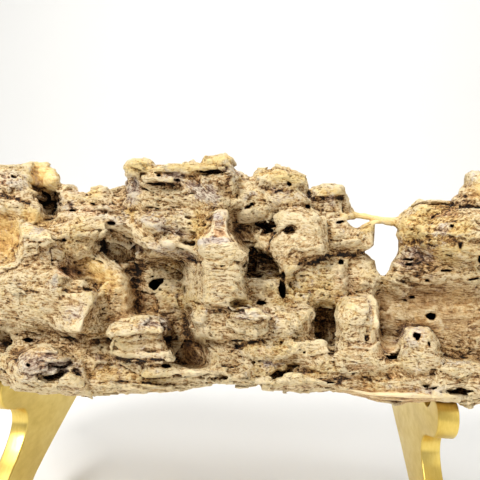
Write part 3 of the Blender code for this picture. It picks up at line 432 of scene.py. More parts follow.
# ragged holes, painted black inside as painted shade: u, v, radii, turn, front depth of the face, how deep
HOLES = [
    (155, 285, 5.6, 5.4, 0, -6, 26), (159.5, 281, 5.4, 2.8, -12, -6, 20), (417, 336, 3.4, 3.8, 0, -27, 10), (429, 344, 1.2, 2.4, -20, -26, 7),
    (431, 316.5, 5.5, 3.4, 0, 8, 12), (28, 340, 4.6, 2.0, 5, -14, 9), (28, 365, 2.1, 1.9, 0, -34, 8),
    (261, 303, 4.2, 2.6, 10, -14, 12), (111, 223, 5.0, 1.7, 8, -14, 10), (72, 210.5, 3.6, 1.0, 0, -6, 8),
    (289, 183.5, 2.6, 2.0, 30, -7, 8), (340, 222, 5.5, 1.5, -8, -3, 10), (341, 262.5, 3.4, 2.4, 30, -6, 9),
    (409, 259.5, 6.0, 0.9, 4, 0, 9), (409, 264.5, 3.0, 1.4, 0, 2, 9), (446, 270.5, 6.0, 0.9, 0, -4, 9),
    (427, 280.5, 2.0, 1.2, 0, 0, 8), (474, 279, 6, 1.0, -12, -2, 9), (480, 259, 2.2, 4.0, 10, -8, 9),
    (412, 297, 2.6, 1.2, 0, 8, 6), (283, 276, 2.4, 4.2, -10, -4, 12), (282, 290, 3.6, 8.0, -8, 0, 12),
    (170, 329, 2.6, 4.4, 0, -20, 10), (169, 343, 4.2, 2.6, 0, -20, 10), (170, 353, 2.8, 2.8, 0, -20, 10),
    (166, 366.5, 4.6, 1.8, 5, -20, 9), (159, 175.5, 2.4, 1.2, 0, -9, 7),
    (177, 180, 3.0, 1.1, 8, -5, 7), (248, 207, 3.6, 1.4, -20, -8, 8), (252, 204, 2.2, 1.2, 30, -8, 8),
    (12, 176, 1.4, 1.2, 0, -10, 6), (64, 240, 2.2, 1.6, 0, -16, 6), (244, 263, 2.4, 3.4, 20, -8, 8),
    (308, 206, 2.4, 2.0, 40, 0, 8), (405, 300, 2, 0.9, 0, 8, 6), (452, 226, 2.0, 1.3, 0, -8, 7),
    (433, 217, 2.2, 1.0, -30, -4, 7), (460, 246, 1.2, 2.0, 0, -10, 7), (222, 266, 2.4, 0.8, 0, -30, 5),
    (330, 382.5, 3.6, 1.2, 0, -27, 7), (93, 204, 3.0, 0.9, 10, -5, 7), (126, 300, 1.2, 0.9, 0, -12, 5),
]
# cracks, and the shadow lines under ledges, cut as grooves and painted dark as painted shade: (u, v, depth, radius)
# along each
CRACKS_AND_SHADOW_LINES = [
    [(-20, 199, -10, 0.8), (-4, 196, -12, 1.0), (10, 197, -12, 1.1), (22, 201, -11, 1.0), (34, 205, -9, 0.8)],
    [(118, 358, -30, 1.1), (132, 361, -28, 1.4), (148, 361, -28, 1.4), (164, 359, -28, 1.1)],
    [(228, 317.5, -26, 0.9), (236, 318.5, -26, 1.1), (250, 318.5, -26, 1.0), (264, 319, -24, 0.8)],
    [(297, 264, -12, 1.0), (308, 265, -14, 1.4), (318, 262, -12, 1.5), (325, 256, -8, 1.3)],
    [(324, 255.5, -6, 0.9), (338, 255, -4, 1.1), (352, 254.5, -2, 1.0), (363, 252, 0, 0.8)],
    [(203, 302, -22, 0.9), (218, 307, -29, 1.0), (236, 309, -29, 1.2), (250, 310, -24, 1.0)],
    [(268, 250, -10, 1.2), (272, 240, -9, 1.2), (275, 228, -8, 1.3)],
    [(308, 198, 0, 1.2), (313, 198, 0, 1.4), (328, 197.5, 0, 1.3), (343, 199, 2, 1.0)],
    [(66, 196, -3, 0.9), (72, 210, -6, 1.1), (76, 211, -6, 1.0)],
    [(150, 259.5, -17, 1.2), (166, 259, -18, 1.2), (184, 258.5, -18, 1.1), (200, 263, -15, 0.9)],
    [(232, 351, -22, 0.8), (240, 346, -22, 1.2), (250, 343, -22, 1.3), (262, 341.5, -23, 1.0)],
    [(100, 384, -26, 0.9), (118, 382, -27, 1.0), (135, 381.5, -27, 1.0), (150, 384, -27, 0.8)],
    [(347, 343.5, -28, 0.6), (358, 342.6, -29, 0.7)],
    [(318, 381, -28, 0.8), (330, 379.5, -28, 0.9), (346, 378, -28, 0.8)],
    [(332, 381, -28, 0.9), (336, 384, -28, 1.0), (340, 383, -28, 0.7)],
    [(400, 244, 2, 0.8), (420, 241, -6, 1.0), (434, 246, -8, 0.8)],
    [(452, 240, -12, 0.7), (462, 243, -12, 0.8)],
    [(0, 306, -28, 0.7), (8, 302, -28, 0.8), (16, 300, -28, 0.6)],
    [(26, 291, -28, 0.9), (30, 291.5, -28, 1.1), (36, 291.5, -28, 0.7)],
    [(62, 291, -24, 0.7), (80, 288, -20, 0.9), (96, 291, -16, 0.9)],
    [(14, 248, -14, 0.6), (24, 242, -18, 0.7), (40, 242, -18, 0.7)],
    [(222, 166, -6, 0.8), (226, 174, -7, 1.0), (228, 184, -8, 0.9)],
    [(262, 188, -5, 0.7), (274, 192, -6, 0.9), (284, 190, -6, 0.7)],
]
# ribs and splinters that stand out
RIBS = [
    [(343, 213, 12, 4.8), (352, 214.5, 12, 3.0), (364, 216.5, 12, 2.4), (376, 219, 12, 2.3), (388, 221, 12, 2.7),
     (399, 222, 12, 3.8), (410, 218, 14, 6.8)],
    [(88, 393, -24, 2.2), (91, 396.5, -24, 1.0)],
    [(300, 196, 20, 7), (316, 198, 20, 7)],
    [(31, 188, 6, 5.0), (38, 193, 9, 4.5), (44, 198, 13, 3.0)],
    [(38, 219, 0, 6.0), (54, 219, 2, 6.0)],
    [(352, 228, 6, 1.6), (362, 224.5, 6, 1.4), (372, 222, 7, 1.1), (380, 221, 8, 0.8)],
    [(371, 300, -20, 1.4), (375, 308, -22, 1.6), (376.5, 326, -23, 1.6), (377, 344, -22, 1.6)],
    [(322, 220, -8, 2.4), (324, 236, -10, 2.6), (323, 254, -8, 2.2)],
    [(204, 168, -4, 1.6), (212, 160, -5, 2.0), (224, 158, -4, 1.8)],
]
# rounded galleries open to the front: (u, v, depth, radius)
GROOVES = [
    [(118, 256, -9, 5), (134, 264, -4, 8), (143, 274, -2, 9), (141, 288, -3, 7.5), (139, 302, -6, 6), (138, 316, -11, 3.5)],
    [(188, 312, -19, 0.9), (188, 320, -14, 2.6), (188, 331, -11, 4.2), (188, 342, -12, 5.4), (191, 351, -19, 6.2),
     (199, 360, -29, 6.0)],
    [(404, 357, -6, 2), (396, 356, -6, 4), (388, 356, -8, 3)],
]
# the two windows that go right through
WINDOWS = [
    [(346, 220), (358, 219.4), (369, 220.4), (364, 223.5), (357, 227), (351, 225.6)],
    [(375, 225), (375, 223.5), (381, 224.5), (389, 225.5), (394, 227.5), (397.5, 229), (395.6, 235), (398.3, 240.3),
     (398, 246), (398.3, 250.2), (396, 256), (391, 263), (389, 270), (385, 275.5), (381, 275.5), (376.5, 270), (375.3, 260),
     (370, 255.6), (363.8, 251.8), (370, 248.7), (374, 245), (374.6, 234)],
]

def blurred(a, cells):
    """Box blur, twice along each axis."""
    for axis, n in enumerate(cells):
        for _ in range(2):
            c = np.cumsum(np.concatenate([np.repeat(np.take(a, [0], axis), n + 1, axis), a,
                                          np.repeat(np.take(a, [-1], axis), n, axis)], axis), axis, dtype=np.float64)
            hi = np.take(c, range(2 * n + 1, c.shape[axis]), axis)
            lo = np.take(c, range(0, c.shape[axis] - 2 * n - 1), axis)
            a = ((hi - lo) / (2 * n + 1)).astype(np.float32)
    return a


def spots(blobs, u, v, soft=0.45):
    """Soft ellipses on the sheet: (u, v, ru, rv, turn, strength), the strongest one winning."""
    out = np.zeros(np.shape(u), np.float32)
    for u0, v0, ru, rv, turn, strength in blobs:
        a = math.radians(turn)
        du, dv = u - u0, v - v0
        x = (du * math.cos(a) + dv * math.sin(a)) / ru
        z = (-du * math.sin(a) + dv * math.cos(a)) / rv
        d = np.sqrt(x * x + z * z)
        out = np.maximum(out, strength * np.clip((1 + soft - d) / (2 * soft), 0, 1))
    return out * out * (3 - 2 * out)


def spread(a, n, pick):
    """Running minimum or maximum over 2n + 1 cells along both axes of the sheet."""
    for axis in (0, 1):
        out = a.copy()
        for step in range(1, n + 1):
            out = pick(out, pick(np.roll(a, step, axis), np.roll(a, -step, axis)))
        a = out
    return a


# where the gaps between the masses stay open: u, v, ru, rv, turn, strength
OPEN = [(391, 322, 12, 20, 0, 0.8), (456, 344, 22, 14, 0, 1.0), (325, 328, 15, 22, 0, 1.0), 
        (46, 204, 14, 14, 0, 1.0), (264, 266, 18, 16, 0, 0.8), (440, 314, 42, 18, 0, 1.0), (172, 284, 24, 20, 0, 0.35),
        (140, 343, 36, 9, 0, 0.8)]


def flow(reach, sink, k):
    """Narrow gaps between neighbouring masses are filled with a slope that lies a little deeper."""
    solid = D < 0
    front = np.where(solid.any(axis=2), Y[np.argmax(solid, axis=2)], 60.0).astype(np.float32)
    n = max(1, round(reach / STEP_UV))
    closed = spread(spread(front, n, np.minimum), n, np.maximum)
    closed = blurred(closed, (n // 2, n // 2))
    inner = blurred((front < 45).astype(np.float32), (2, 2))
    gu, gv = np.meshgrid(U, V, indexing="ij")
    closed = closed + sink + 30 * spots(OPEN, gu, gv, 0.3)
    side = (0.8 - inner) * 12
    for i in range(0, len(U), 64):
        part = slice(i, i + 64)
        field = np.maximum(closed[part, :, None] - Y[None, None, :], Y[None, None, :] - 40)
        field = np.maximum(field, side[part, :, None])
        D[part] = smooth_min(D[part], field, k)


for outline, y0, y1, r, dome, tilt, k in MASSES:
    add_block(outline, y0, y1, r, dome, tilt, k)
for ball in BALLS:
    add_ball(*ball)
flow(9, 2.2, 4.0)
for outline, y1, r, *soft in HOLLOWS:
    cut_block(outline, -52, y1, r, *soft)
for rib in RIBS:
    add_limb(rib)
for groove in GROOVES:
    cut_limb(groove, 4.0)
for bowl in BOWLS:
    cut_ball(*bowl)


# ---- the wood: weathering -----------------------------------------------------------
rng = np.random.default_rng(20260417)
TABLE = rng.random((64, 64, 64)).astype(np.float32)
CELLS = rng.random((32, 32, 32, 4)).astype(np.float32)


def noise(x, y, z, seed=0):
    """Smooth value noise from -1 to 1, one lump per unit."""
    x, y, z = x + seed * 7.31, y + seed * 3.77, z + seed * 11.13
    fx, fy, fz = np.floor(x), np.floor(y), np.floor(z)
    ix, iy, iz = (a.astype(np.int32) & 63 for a in (fx, fy, fz))
    jx, jy, jz = (ix + 1) & 63, (iy + 1) & 63, (iz + 1) & 63
    tx, ty, tz = x - fx, y - fy, z - fz
    tx, ty, tz = tx * tx * (3 - 2 * tx), ty * ty * (3 - 2 * ty), tz * tz * (3 - 2 * tz)
    a = TABLE[ix, iy, iz] * (1 - tx) + TABLE[jx, iy, iz] * tx
    b = TABLE[ix, jy, iz] * (1 - tx) + TABLE[jx, jy, iz] * tx
    c = TABLE[ix, iy, jz] * (1 - tx) + TABLE[jx, iy, jz] * tx
    d = TABLE[ix, jy, jz] * (1 - tx) + TABLE[jx, jy, jz] * tx
    return ((a * (1 - ty) + b * ty) * (1 - tz) + (c * (1 - ty) + d * ty) * tz) * 2 - 1


def pits(x, y, z, share, seed):
    """Distance, in cells, into round pits: one at most in each cell, positive inside."""
    x, y, z = x + seed * 5.17, y + seed * 9.43, z + seed * 2.71
    fx, fy, fz = np.floor(x), np.floor(y), np.floor(z)
    c = CELLS[fx.astype(np.int32) & 31, fy.astype(np.int32) & 31, fz.astype(np.int32) & 31]
    r = 0.16 + 0.19 * c[:, 3]
    px = fx + r + (1 - 2 * r) * c[:, 0]
    py = fy + r + (1 - 2 * r) * c[:, 1]
    pz = fz + r + (1 - 2 * r) * c[:, 2]
    live = ((c[:, 0] * 7.3 + c[:, 1] * 5.9 + c[:, 3] * 3.1) % 1.0) < share
    return np.where(live, r - np.sqrt((x - px) ** 2 + (y - py) ** 2 + (z - pz) ** 2), -1.0)


def chips(x, y, z, seed):
    """Flat broken chips, each a plane with its own tilt and height, about -1 to 1."""
    x, y, z = x + seed * 3.31, y + seed * 6.17, z + seed * 1.73
    bx, by, bz = np.floor(x - 0.5), np.floor(y - 0.5), np.floor(z - 0.5)
    nearest = np.full(x.shape, 9.0, np.float32)
    out = np.zeros(x.shape, np.float32)
    for i in (0, 1):
        for j in (0, 1):
            for k in (0, 1):
                cx, cy, cz = bx + i, by + j, bz + k
                c = CELLS[cx.astype(np.int32) & 31, cy.astype(np.int32) & 31, cz.astype(np.int32) & 31]
                dx, dy, dz = x - cx - 0.2 - 0.6 * c[:, 0], y - cy - 0.2 - 0.6 * c[:, 1], z - cz - 0.2 - 0.6 * c[:, 2]
                d = dx * dx + dy * dy + dz * dz
                t1, t2 = c[:, 3] * 2 - 1, (c[:, 3] * 17.3) % 1.0 * 2 - 1
                plane = 0.9 * dx * t1 + 1.3 * dz * t2 + 0.75 * ((c[:, 3] * 41.7) % 1.0 * 2 - 1)
                closer = d < nearest
                nearest = np.where(closer, d, nearest)
                out = np.where(closer, plane, out)
    return out


# where the surface is polished smooth, where the grain stands upright, where it is riddled with holes
SMOOTH = [(42, 178, 14, 13, 0, 0.9), (4, 236, 18, 22, 0, 0.9), (34, 217, 12, 6, 30, 0.7), (104, 274, 24, 14, 38, 0.6),
          (127, 297, 8, 22, 0, 0.75), (299, 236, 26, 22, 0, 0.4), (316, 354, 13, 14, 0, 0.3), (224, 228, 14, 16, 0, 0.5), (78, 314, 16, 18, 0, 0.5), (440, 312, 50, 30, 0, 0.75), (388, 310, 12, 26, 0, 0.75),
          (388, 346, 10, 8, 0, 0.9), (372, 218, 30, 5, 8, 0.9), (484, 190, 14, 14, 0, 0.6), (76, 272, 16, 6, 10, 0.7),
          (140, 342, 24, 9, 0, 0.4), (28, 352, 20, 5, 0, 0.6), (396, 396, 62, 6, 4, 0.95), (192, 352, 12, 18, 0, 0.6),
          (374, 322, 4, 24, 0, 0.8), (250, 240, 22, 8, 10, 0.5), (10, 262, 14, 5, 0, 0.4), (360, 268, 16, 10, 0, 0.4)]
UPRIGHT = [(124, 248, 16, 16, 0, 0.8), (192, 352, 12, 22, 0, 0.7), (326, 326, 10, 22, 0, 0.6), (140, 294, 6, 22, 0, 0.5)]
RIDDLED = [(165, 198, 34, 14, 0, 1.0), (190, 226, 22, 16, 0, 0.9), (300, 284, 44, 34, 0, 0.9), (256, 345, 54, 30, 0, 0.7),
           (14, 186, 24, 20, 0, 0.7), (110, 210, 26, 14, 0, 0.6), (285, 186, 36, 14, 0, 0.8), (330, 208, 18, 14, 0, 0.7),
           (176, 288, 26, 20, 0, 0.8), (216, 178, 20, 12, 0, 0.8), (245, 208, 34, 12, 0, 0.8), (440, 240, 50, 30, 0, 0.6),
           (98, 314, 12, 18, 0, 0.9), (180, 376, 80, 14, 0, 0.5), (430, 378, 60, 14, 0, 0.4), (40, 336, 36, 6, 0, 0.8),
           (300, 212, 40, 8, 0, 0.6), (206, 330, 16, 16, 0, 0.8), (140, 372, 40, 10, 0, 0.6)]
# where the drawn blocks carry the form and the broken relief is held back
PLAIN = [(180, 190, 64, 32, 0, 0.6), (356, 328, 22, 28, 0, 0.45), (222, 262, 24, 50, 0, 0.5), (290, 196, 60, 26, 0, 0.35),
         (140, 344, 34, 12, 0, 0.5), (44, 366, 40, 18, 0, 0.3), (300, 240, 30, 22, 0, 0.5), (40, 290, 56, 36, 0, 0.3)]
# grain that climbs to the right, and grain that falls to the right
RISING = [(440, 222, 46, 22, -30, 1.0), (366, 232, 18, 10, -25, 1.0), (84, 320, 10, 16, 30, 0.8), (34, 240, 16, 12, 0, 0.5),
          (300, 250, 24, 14, 0, 0.6), (276, 374, 18, 8, 0, 0.9), (200, 222, 14, 14, 0, 0.6), (262, 184, 14, 12, 0, 0.6),
          (120, 312, 20, 10, 0, 0.4), (220, 165, 20, 8, 0, 0.7)]
FALLING = [(106, 268, 24, 12, 38, 1.0), (202, 192, 22, 10, 35, 1.0), (58, 244, 16, 10, 20, 0.7), (200, 360, 16, 12, 0, 0.9),
           (150, 236, 24, 8, 20, 0.8), (230, 250, 10, 10, 0, 0.4), (250, 240, 22, 10, 15, 0.8), (390, 372, 30, 8, 0, 0.6),
           (70, 262, 20, 6, 15, 0.6), (324, 214, 10, 10, 0, 0.5), (42, 182, 14, 12, 0, 0.8), (500, 300, 30, 30, 0, 0.4)]
# wavy lines across, and torn terraces
STRIPED = [(226, 274, 22, 32, 0, 0.9), (300, 244, 24, 16, 0, 0.6), (356, 330, 16, 28, 0, 0.4), (30, 290, 40, 34, 0, 0.3), (250, 316, 22, 8, 0, 0.8),
           (48, 370, 36, 20, 0, 0.8), (250, 232, 26, 14, 0, 0.6), (350, 238, 22, 12, -20, 0.7), (160, 172, 34, 10, 0, 0.6),
           (440, 225, 50, 20, -25, 0.5), (240, 378, 120, 8, 0, 0.6)]


def world_of(index):
    return [a.astype(np.float32) for a in lift(U[index[0]], V[index[1]], Y[index[2]])]


def weather():
    band = np.nonzero(np.abs(D) < 3.9)
    x, y, z = world_of(band)
    u, v = U[band[0]], V[band[1]]
    front = np.clip((48 - y) / 10, 0, 1)
    smooth = spots(SMOOTH, u, v) * front
    upright = spots(UPRIGHT, u, v) * front
    striped = spots(STRIPED, u, v) * front
    riddled = np.maximum(spots(RIDDLED, u, v) * front, 0.45 * (1 - front)) * (1 - smooth)
    rough = 1 - 0.85 * smooth
    broken = rough * (1 - spots(PLAIN, u, v) * front)
    # slow wandering of the grain
    w1 = noise(x / 22, y / 22, z / 22, 1)
    w2 = noise(x / 22, y / 22, z / 22, 2)
    w3 = noise(x / 8, y / 8, z / 8, 12)
    gx, gz = x + 3.0 * w1 + 0.8 * w3, z + 0.05 * x + 3.2 * w2 + 0.8 * w3
    d = 0.8 * noise(x / 17, y / 14, z / 13, 3) * (0.5 + 0.5 * rough)
    # creased relief
    fold = np.abs(noise(gx / 11, y / 8, gz / 6.5, 4))
    d += 1.2 * (0.32 - fold) * broken
    # broken chips, large and small
    d += 1.5 * chips(gx / 13, y / 9, gz / 8, 1) * (0.2 + 0.8 * broken)
    d += 0.7 * chips(gx / 5.6, y / 4.4, gz / 3.8, 2) * rough * (1 - 0.6 * striped)
    # shelves: long along the grain, with a sharp lip and a slow slope
    across = gz + 0.35 * y
    lay = across / 5.4 + 0.8 * noise(gx / 16, y / 10, gz / 9, 5)
    saw = lay - np.floor(lay)
    shelf = np.minimum(saw / 0.86, (1 - saw) / 0.14)
    d += 1.35 * (0.5 - shelf) * broken * (1 - upright) * np.clip(0.35 + 0.5 * striped + 0.8 * noise(gx / 12, y / 12, gz / 9, 6), 0, 1)
    # fine wavy lines
    line = (across + 0.9 * w3) / 1.55 + 0.7 * noise(gx / 6, y / 6, gz / 3, 21)
    saw = line - np.floor(line)
    d += 0.32 * (np.minimum(saw, 1 - saw) * 2 - 0.5) * striped
    # fibres
    flat_a = noise(gx / 4.0, y / 2.4, gz / 1.7, 7)
    up_a = noise(gx / 1.9, y / 2.6, gz / 5.5, 9)
    d += 0.34 * (flat_a * (1 - upright) + up_a * upright) * rough
    d += 0.22 * noise(gx / 1.9, y / 1.5, gz / 1.3, 8) * (0.3 + 0.7 * rough)
    out = D[band] + d
    # insect holes, from large to small
    for size, stretch, share, deep, seed in ((4.6, 1.5, 0.15, 0.9, 2), (3.1, 1.4, 0.5, 1.0, 3), (2.3, 1.25, 0.75, 1.1, 4)):
        sx = size * (stretch * (1 - upright) + upright)
        sz = size * (1 - upright + stretch * upright)
        hole = pits(gx / sx, y / size, gz / sz, share, seed)
        inside = (hole - (1 - riddled) * 0.20) * size * deep
        out = np.where(hole > -0.5, -smooth_min(-out, -inside, 0.3), out)
    D[band] = out


def fit_to_stand():
    """The flat underside, and clearance where the ledges, the lobes and the uprights are."""
    low = np.searchsorted(V, 350)
    win = (slice(0, len(U)), slice(low, len(V)), slice(0, len(Y)))
    x, y, z = lift(U[:, None, None], V[None, low:, None], Y[None, None, :])
    ripple = 0.5 * noise(*[np.broadcast_to(a, D[win].shape).reshape(-1) / s for a, s in ((x, 9), (y, 5), (z, 5))], 20)
    D[win] = np.maximum(D[win], 90.9 + 0.4 * np.abs(ripple.reshape(D[win].shape)) - z)
    at_plate = np.abs(np.abs(x) - 114) < 7.5
    D[win] = np.maximum(D[win], np.where(at_plate & (y < 20), 95.0 - z + np.minimum(0, 8 - y), -FAR))
    x, y, z = lift(U[:, None, None], V[None, :, None], Y[None, None, :])
    D[:] = np.maximum(D, np.where(np.abs(np.abs(x) - 114) < 8, y - 60.9, -FAR))
    D[:] = np.maximum(D, y - 61.6)


weather()
ragged = []
for u0, v0, ru, rv, turn, y0, deep in HOLES:
    a = math.radians(turn)
    ring = []
    for t in range(11):
        w = 2 * math.pi * t / 11
        r = 0.72 + 0.56 * rng.random()
        x, z = r * ru * math.cos(w), r * rv * math.sin(w)
        ring.append((u0 + x * math.cos(a) - z * math.sin(a), v0 + x * math.sin(a) + z * math.cos(a)))
    ragged.append(ring)
    cut_block(ring, y0 - 12, y0 + deep, 0.3, 0.5)
for crack in CRACKS_AND_SHADOW_LINES:
    cut_limb(crack)
add_limb(RIBS[0], 1.5)
for outline in WINDOWS:
    cut_block(outline, -52, 80, 0.5, 1.0)
fit_to_stand()
D[0], D[-1] = FAR, FAR
D[:, 0], D[:, -1] = FAR, FAR
D[:, :, 0], D[:, :, -1] = FAR, FAR


def sampled(a, i, j, k):
    """Trilinear reading of a volume at fractional cells."""
    n = a.shape
    i, j, k = (np.clip(q, 0, m - 1.001) for q, m in zip((i, j, k), n))
    fi, fj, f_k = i.astype(np.int32), j.astype(np.int32), k.astype(np.int32)
    ti, tj, tk = i - fi, j - fj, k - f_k
    out = 0
    for a_, wi in ((0, 1 - ti), (1, ti)):
        for b_, wj in ((0, 1 - tj), (1, tj)):
            for c_, wk in ((0, 1 - tk), (1, tk)):
                out = out + a[fi + a_, fj + b_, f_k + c_] * wi * wj * wk
    return out


def meshed():
    grid = openvdb.FloatGrid(FAR)
    grid.copyFromArray(np.ascontiguousarray(D))
    points, tris, quads = grid.convertToPolygons(isovalue=0.0, adaptivity=0.0)
    return points, tris, quads


points, tris, quads = meshed()
gu, gv, gy = points[:, 0] * STEP_UV + U[0], points[:, 1] * STEP_UV + V[0], points[:, 2] * STEP_Y + Y[0]
co = np.stack(lift(gu, gv, gy), 1)
co = (co + SHIFT) * MM
raw = bpy.data.meshes.new("agarwood_raw")
faces = [tuple(f) for f in tris.tolist()] + [tuple(f) for f in quads.tolist()]
raw.from_pydata(co.tolist(), [], faces)
raw.validate()
bm = bmesh.new()
bm.from_mesh(raw)
# keep the one big body: loose crumbs inside or beside it go
bm.verts.ensure_lookup_table()
seen = np.zeros(len(bm.verts), bool)
groups = []
for start in bm.verts:
    if seen[start.index]:
        continue
    stack, group = [start], []
    seen[start.index] = True
    while stack:
        vert = stack.pop()
        group.append(vert)
        for e in vert.link_edges:
            o = e.other_vert(vert)
            if not seen[o.index]:
                seen[o.index] = True
                stack.append(o)
    groups.append(group)
groups.sort(key=len, reverse=True)
crumbs = [vert for g in groups[1:] for vert in g]
bmesh.ops.delete(bm, geom=crumbs, context="VERTS")
bmesh.ops.recalc_face_normals(bm, faces=bm.faces)
bm.to_mesh(raw)
bm.free()
print("raw wood", len(raw.vertices), "points,", len(raw.polygons), "faces,", len(groups) - 1, "crumbs dropped")

wood = bpy.data.objects.new("agarwood_weathered", raw)
bpy.context.scene.collection.objects.link(wood)
n_tris = sum(len(p.vertices) - 2 for p in raw.polygons)
LIMIT = 195000
if n_tris > LIMIT:
    group = wood.vertex_groups.new(name="back")
    pos = np.empty(len(raw.vertices) * 3, np.float32)
    raw.vertices.foreach_get("co", pos)
    pos = pos.reshape(-1, 3) / MM - SHIFT
    su, sv, sy = drop(pos)
    hidden = np.clip((sy - 34) / 16, 0, 1) + np.clip((-8 - su) / 20, 0, 1) + np.clip((su - 488) / 20, 0, 1)
    # the part that the show face hides is thinned first, then the whole
    idx = np.nonzero(hidden > 0.5)[0]
    group.add(idx.tolist(), 1.0, "REPLACE")
    share = len(idx) / len(raw.vertices)
    first = wood.modifiers.new("thin_back", "DECIMATE")
    first.vertex_group = "back"
    first.vertex_group_factor = 10
    first.ratio = 1 - share * 0.72
    first.use_collapse_triangulate = True
    mod = wood.modifiers.new("fewer", "DECIMATE")
    mod.ratio = min(1.0, LIMIT / (n_tris * first.ratio))
    mod.use_collapse_triangulate = True
    graph = bpy.context.evaluated_depsgraph_get()
    less = bpy.data.meshes.new_from_object(wood.evaluated_get(graph))
    wood.modifiers.clear()
    wood.data = less
    wood.vertex_groups.clear()
print("wood", len(wood.data.vertices), "points,", sum(len(p.vertices) - 2 for p in wood.data.polygons), "triangles")
wood.data.shade_smooth()


# ---- what the finish reads from the form, with painted shade in its hollows and painted light on its ridges ---
solid = (np.clip(0.5 - D / (2 * STEP_Y), 0, 1)).astype(np.float32)
near = blurred(solid, (1, 1, 1))
mid = blurred(solid, (4, 4, 4))
wide = blurred(mid, (9, 9, 9))
pos = np.empty(len(wood.data.vertices) * 3, np.float32)
wood.data.vertices.foreach_get("co", pos)
pos = pos.reshape(-1, 3).astype(np.float64) / MM - SHIFT
su, sv, sy = drop(pos)
ijk = ((su - U[0]) / STEP_UV, (sv - V[0]) / STEP_UV, (sy - Y[0]) / STEP_Y)
c_near, c_mid, c_wide = (sampled(a, *ijk) for a in (near, mid, wide))
front = np.clip((48 - sy) / 12, 0, 1)

# tones of the wood, some of them painted light and painted shade, as soft patches: u, v, ru, rv, turn, strength
GOLD = [(140, 165, 13, 5, 0, 0.8), (176, 167, 22, 4, 0, 0.8), (216, 160, 18, 5, -10, 0.8), (286, 176, 22, 7, 0, 0.6),
        (186, 168, 50, 5, 0, 0.6), (70, 232, 20, 10, 0, 0.4), (300, 284, 34, 24, 0, 0.5), (180, 300, 20, 14, 0, 0.5),
        (330, 300, 30, 14, 0, 0.5), (266, 350, 26, 10, 0, 0.5), (120, 376, 60, 9, 0, 0.4), (300, 372, 40, 8, 0, 0.4),
        (42, 180, 13, 16, 0, 1.0), (6, 236, 16, 22, 0, 0.9), (34, 216, 14, 7, 30, 0.8), (484, 186, 16, 12, 0, 0.7),
        (430, 216, 26, 12, -8, 1.0), (418, 236, 20, 18, -40, 0.9), (444, 252, 36, 16, 0, 0.5), (375, 219, 34, 5, 8, 0.8), (500, 240, 22, 30, 0, 0.4), (130, 214, 7, 8, 0, 0.9),
        (197, 227, 10, 12, 0, 0.9), (330, 191, 14, 5, 0, 0.8), (276, 172, 22, 5, 0, 0.7), (216, 160, 22, 5, 0, 0.6),
        (96, 192, 10, 4, 0, 0.6), (370, 228, 12, 6, -20, 0.9), (240, 303, 12, 5, 20, 0.6), (452, 232, 20, 8, -30, 0.9), (239, 304, 11, 5, 0, 0.9), (100, 290, 16, 12, 0, 0.4),
        (102, 276, 24, 12, 38, 0.7), (60, 246, 10, 7, 0, 0.4)]
MAUVE = [(132, 190, 6, 14, 0, 0.9), (150, 218, 14, 6, -20, 0.8), (168, 230, 16, 5, 20, 0.8), (12, 182, 22, 13, 0, 0.65), (70, 203, 12, 12, 0, 0.6), (110, 218, 16, 7, 20, 0.5), (202, 192, 20, 10, 35, 1.0),
         (160, 222, 16, 12, 0, 0.6), (168, 177, 18, 5, 0, 0.7), (132, 188, 6, 10, 0, 0.6), (232, 172, 10, 12, 0, 0.6),
         (286, 196, 32, 10, 0, 0.5), (328, 203, 14, 8, 0, 0.45), (248, 313, 18, 5, 0, 0.7), (152, 324, 20, 7, 0, 0.9), (221, 217, 9, 8, 0, 0.8), (74, 314, 9, 16, 30, 0.5), (56, 280, 9, 9, 0, 0.7),
         (44, 366, 30, 13, 0, 0.9), (436, 238, 40, 14, -35, 0.45), (414, 256, 24, 10, 0, 0.6), (76, 312, 10, 14, -30, 0.4),
         (416, 334, 18, 12, 0, 0.6), (460, 364, 24, 4, 0, 0.6), (368, 318, 5, 18, 0, 0.6), (160, 250, 34, 5, 10, 0.5),
         (430, 389, 24, 4, 0, 0.7), (366, 384, 8, 3, 0, 0.6), (250, 350, 20, 6, 0, 0.3), (276, 322, 6, 14, 0, 0.5),
         (60, 262, 16, 5, 0, 0.4), (110, 365, 14, 14, 0, 0.4), (390, 366, 8, 4, 0, 0.4), (250, 196, 10, 4, 0, 0.6)]
# painted light on faces that stand in the light, together with pale wood
LIT_AND_PALE = [(176, 284, 28, 26, 0, 1.0), (345, 284, 22, 34, 0, 0.8), (262, 306, 24, 14, 0, 0.8), (182, 250, 30, 12, 0, 0.6), (6, 322, 20, 10, 0, 1.0), (374, 300, 10, 26, 0, 0.6), (262, 214, 24, 12, 0, 0.5), (119, 246, 15, 13, 0, 1.0), (386, 326, 11, 16, 0, 0.8), (146, 182, 12, 9, 0, 0.4), (138, 343, 22, 8, 0, 1.0), (30, 300, 46, 24, 0, 0.9), (124, 296, 8, 24, 0, 0.3), (224, 278, 20, 40, 0, 1.0), (308, 232, 12, 20, 0, 0.6),
        (276, 300, 24, 14, 0, 0.4), (354, 328, 14, 26, 0, 0.5), (150, 382, 60, 10, 0, 0.4), (190, 210, 30, 8, 0, 0.4),
        (120, 356, 26, 6, 0, 0.3), (250, 362, 30, 10, 0, 0.5), (374, 322, 4, 26, 0, 0.9), (420, 362, 24, 10, 0, 0.5),
        (86, 236, 20, 10, 0, 0.5), (122, 328, 12, 4, 0, 0.4), (250, 328, 14, 6, 0, 0.7), (240, 248, 14, 6, 0, 0.5), (380, 372, 30, 8, 0, 0.4)]
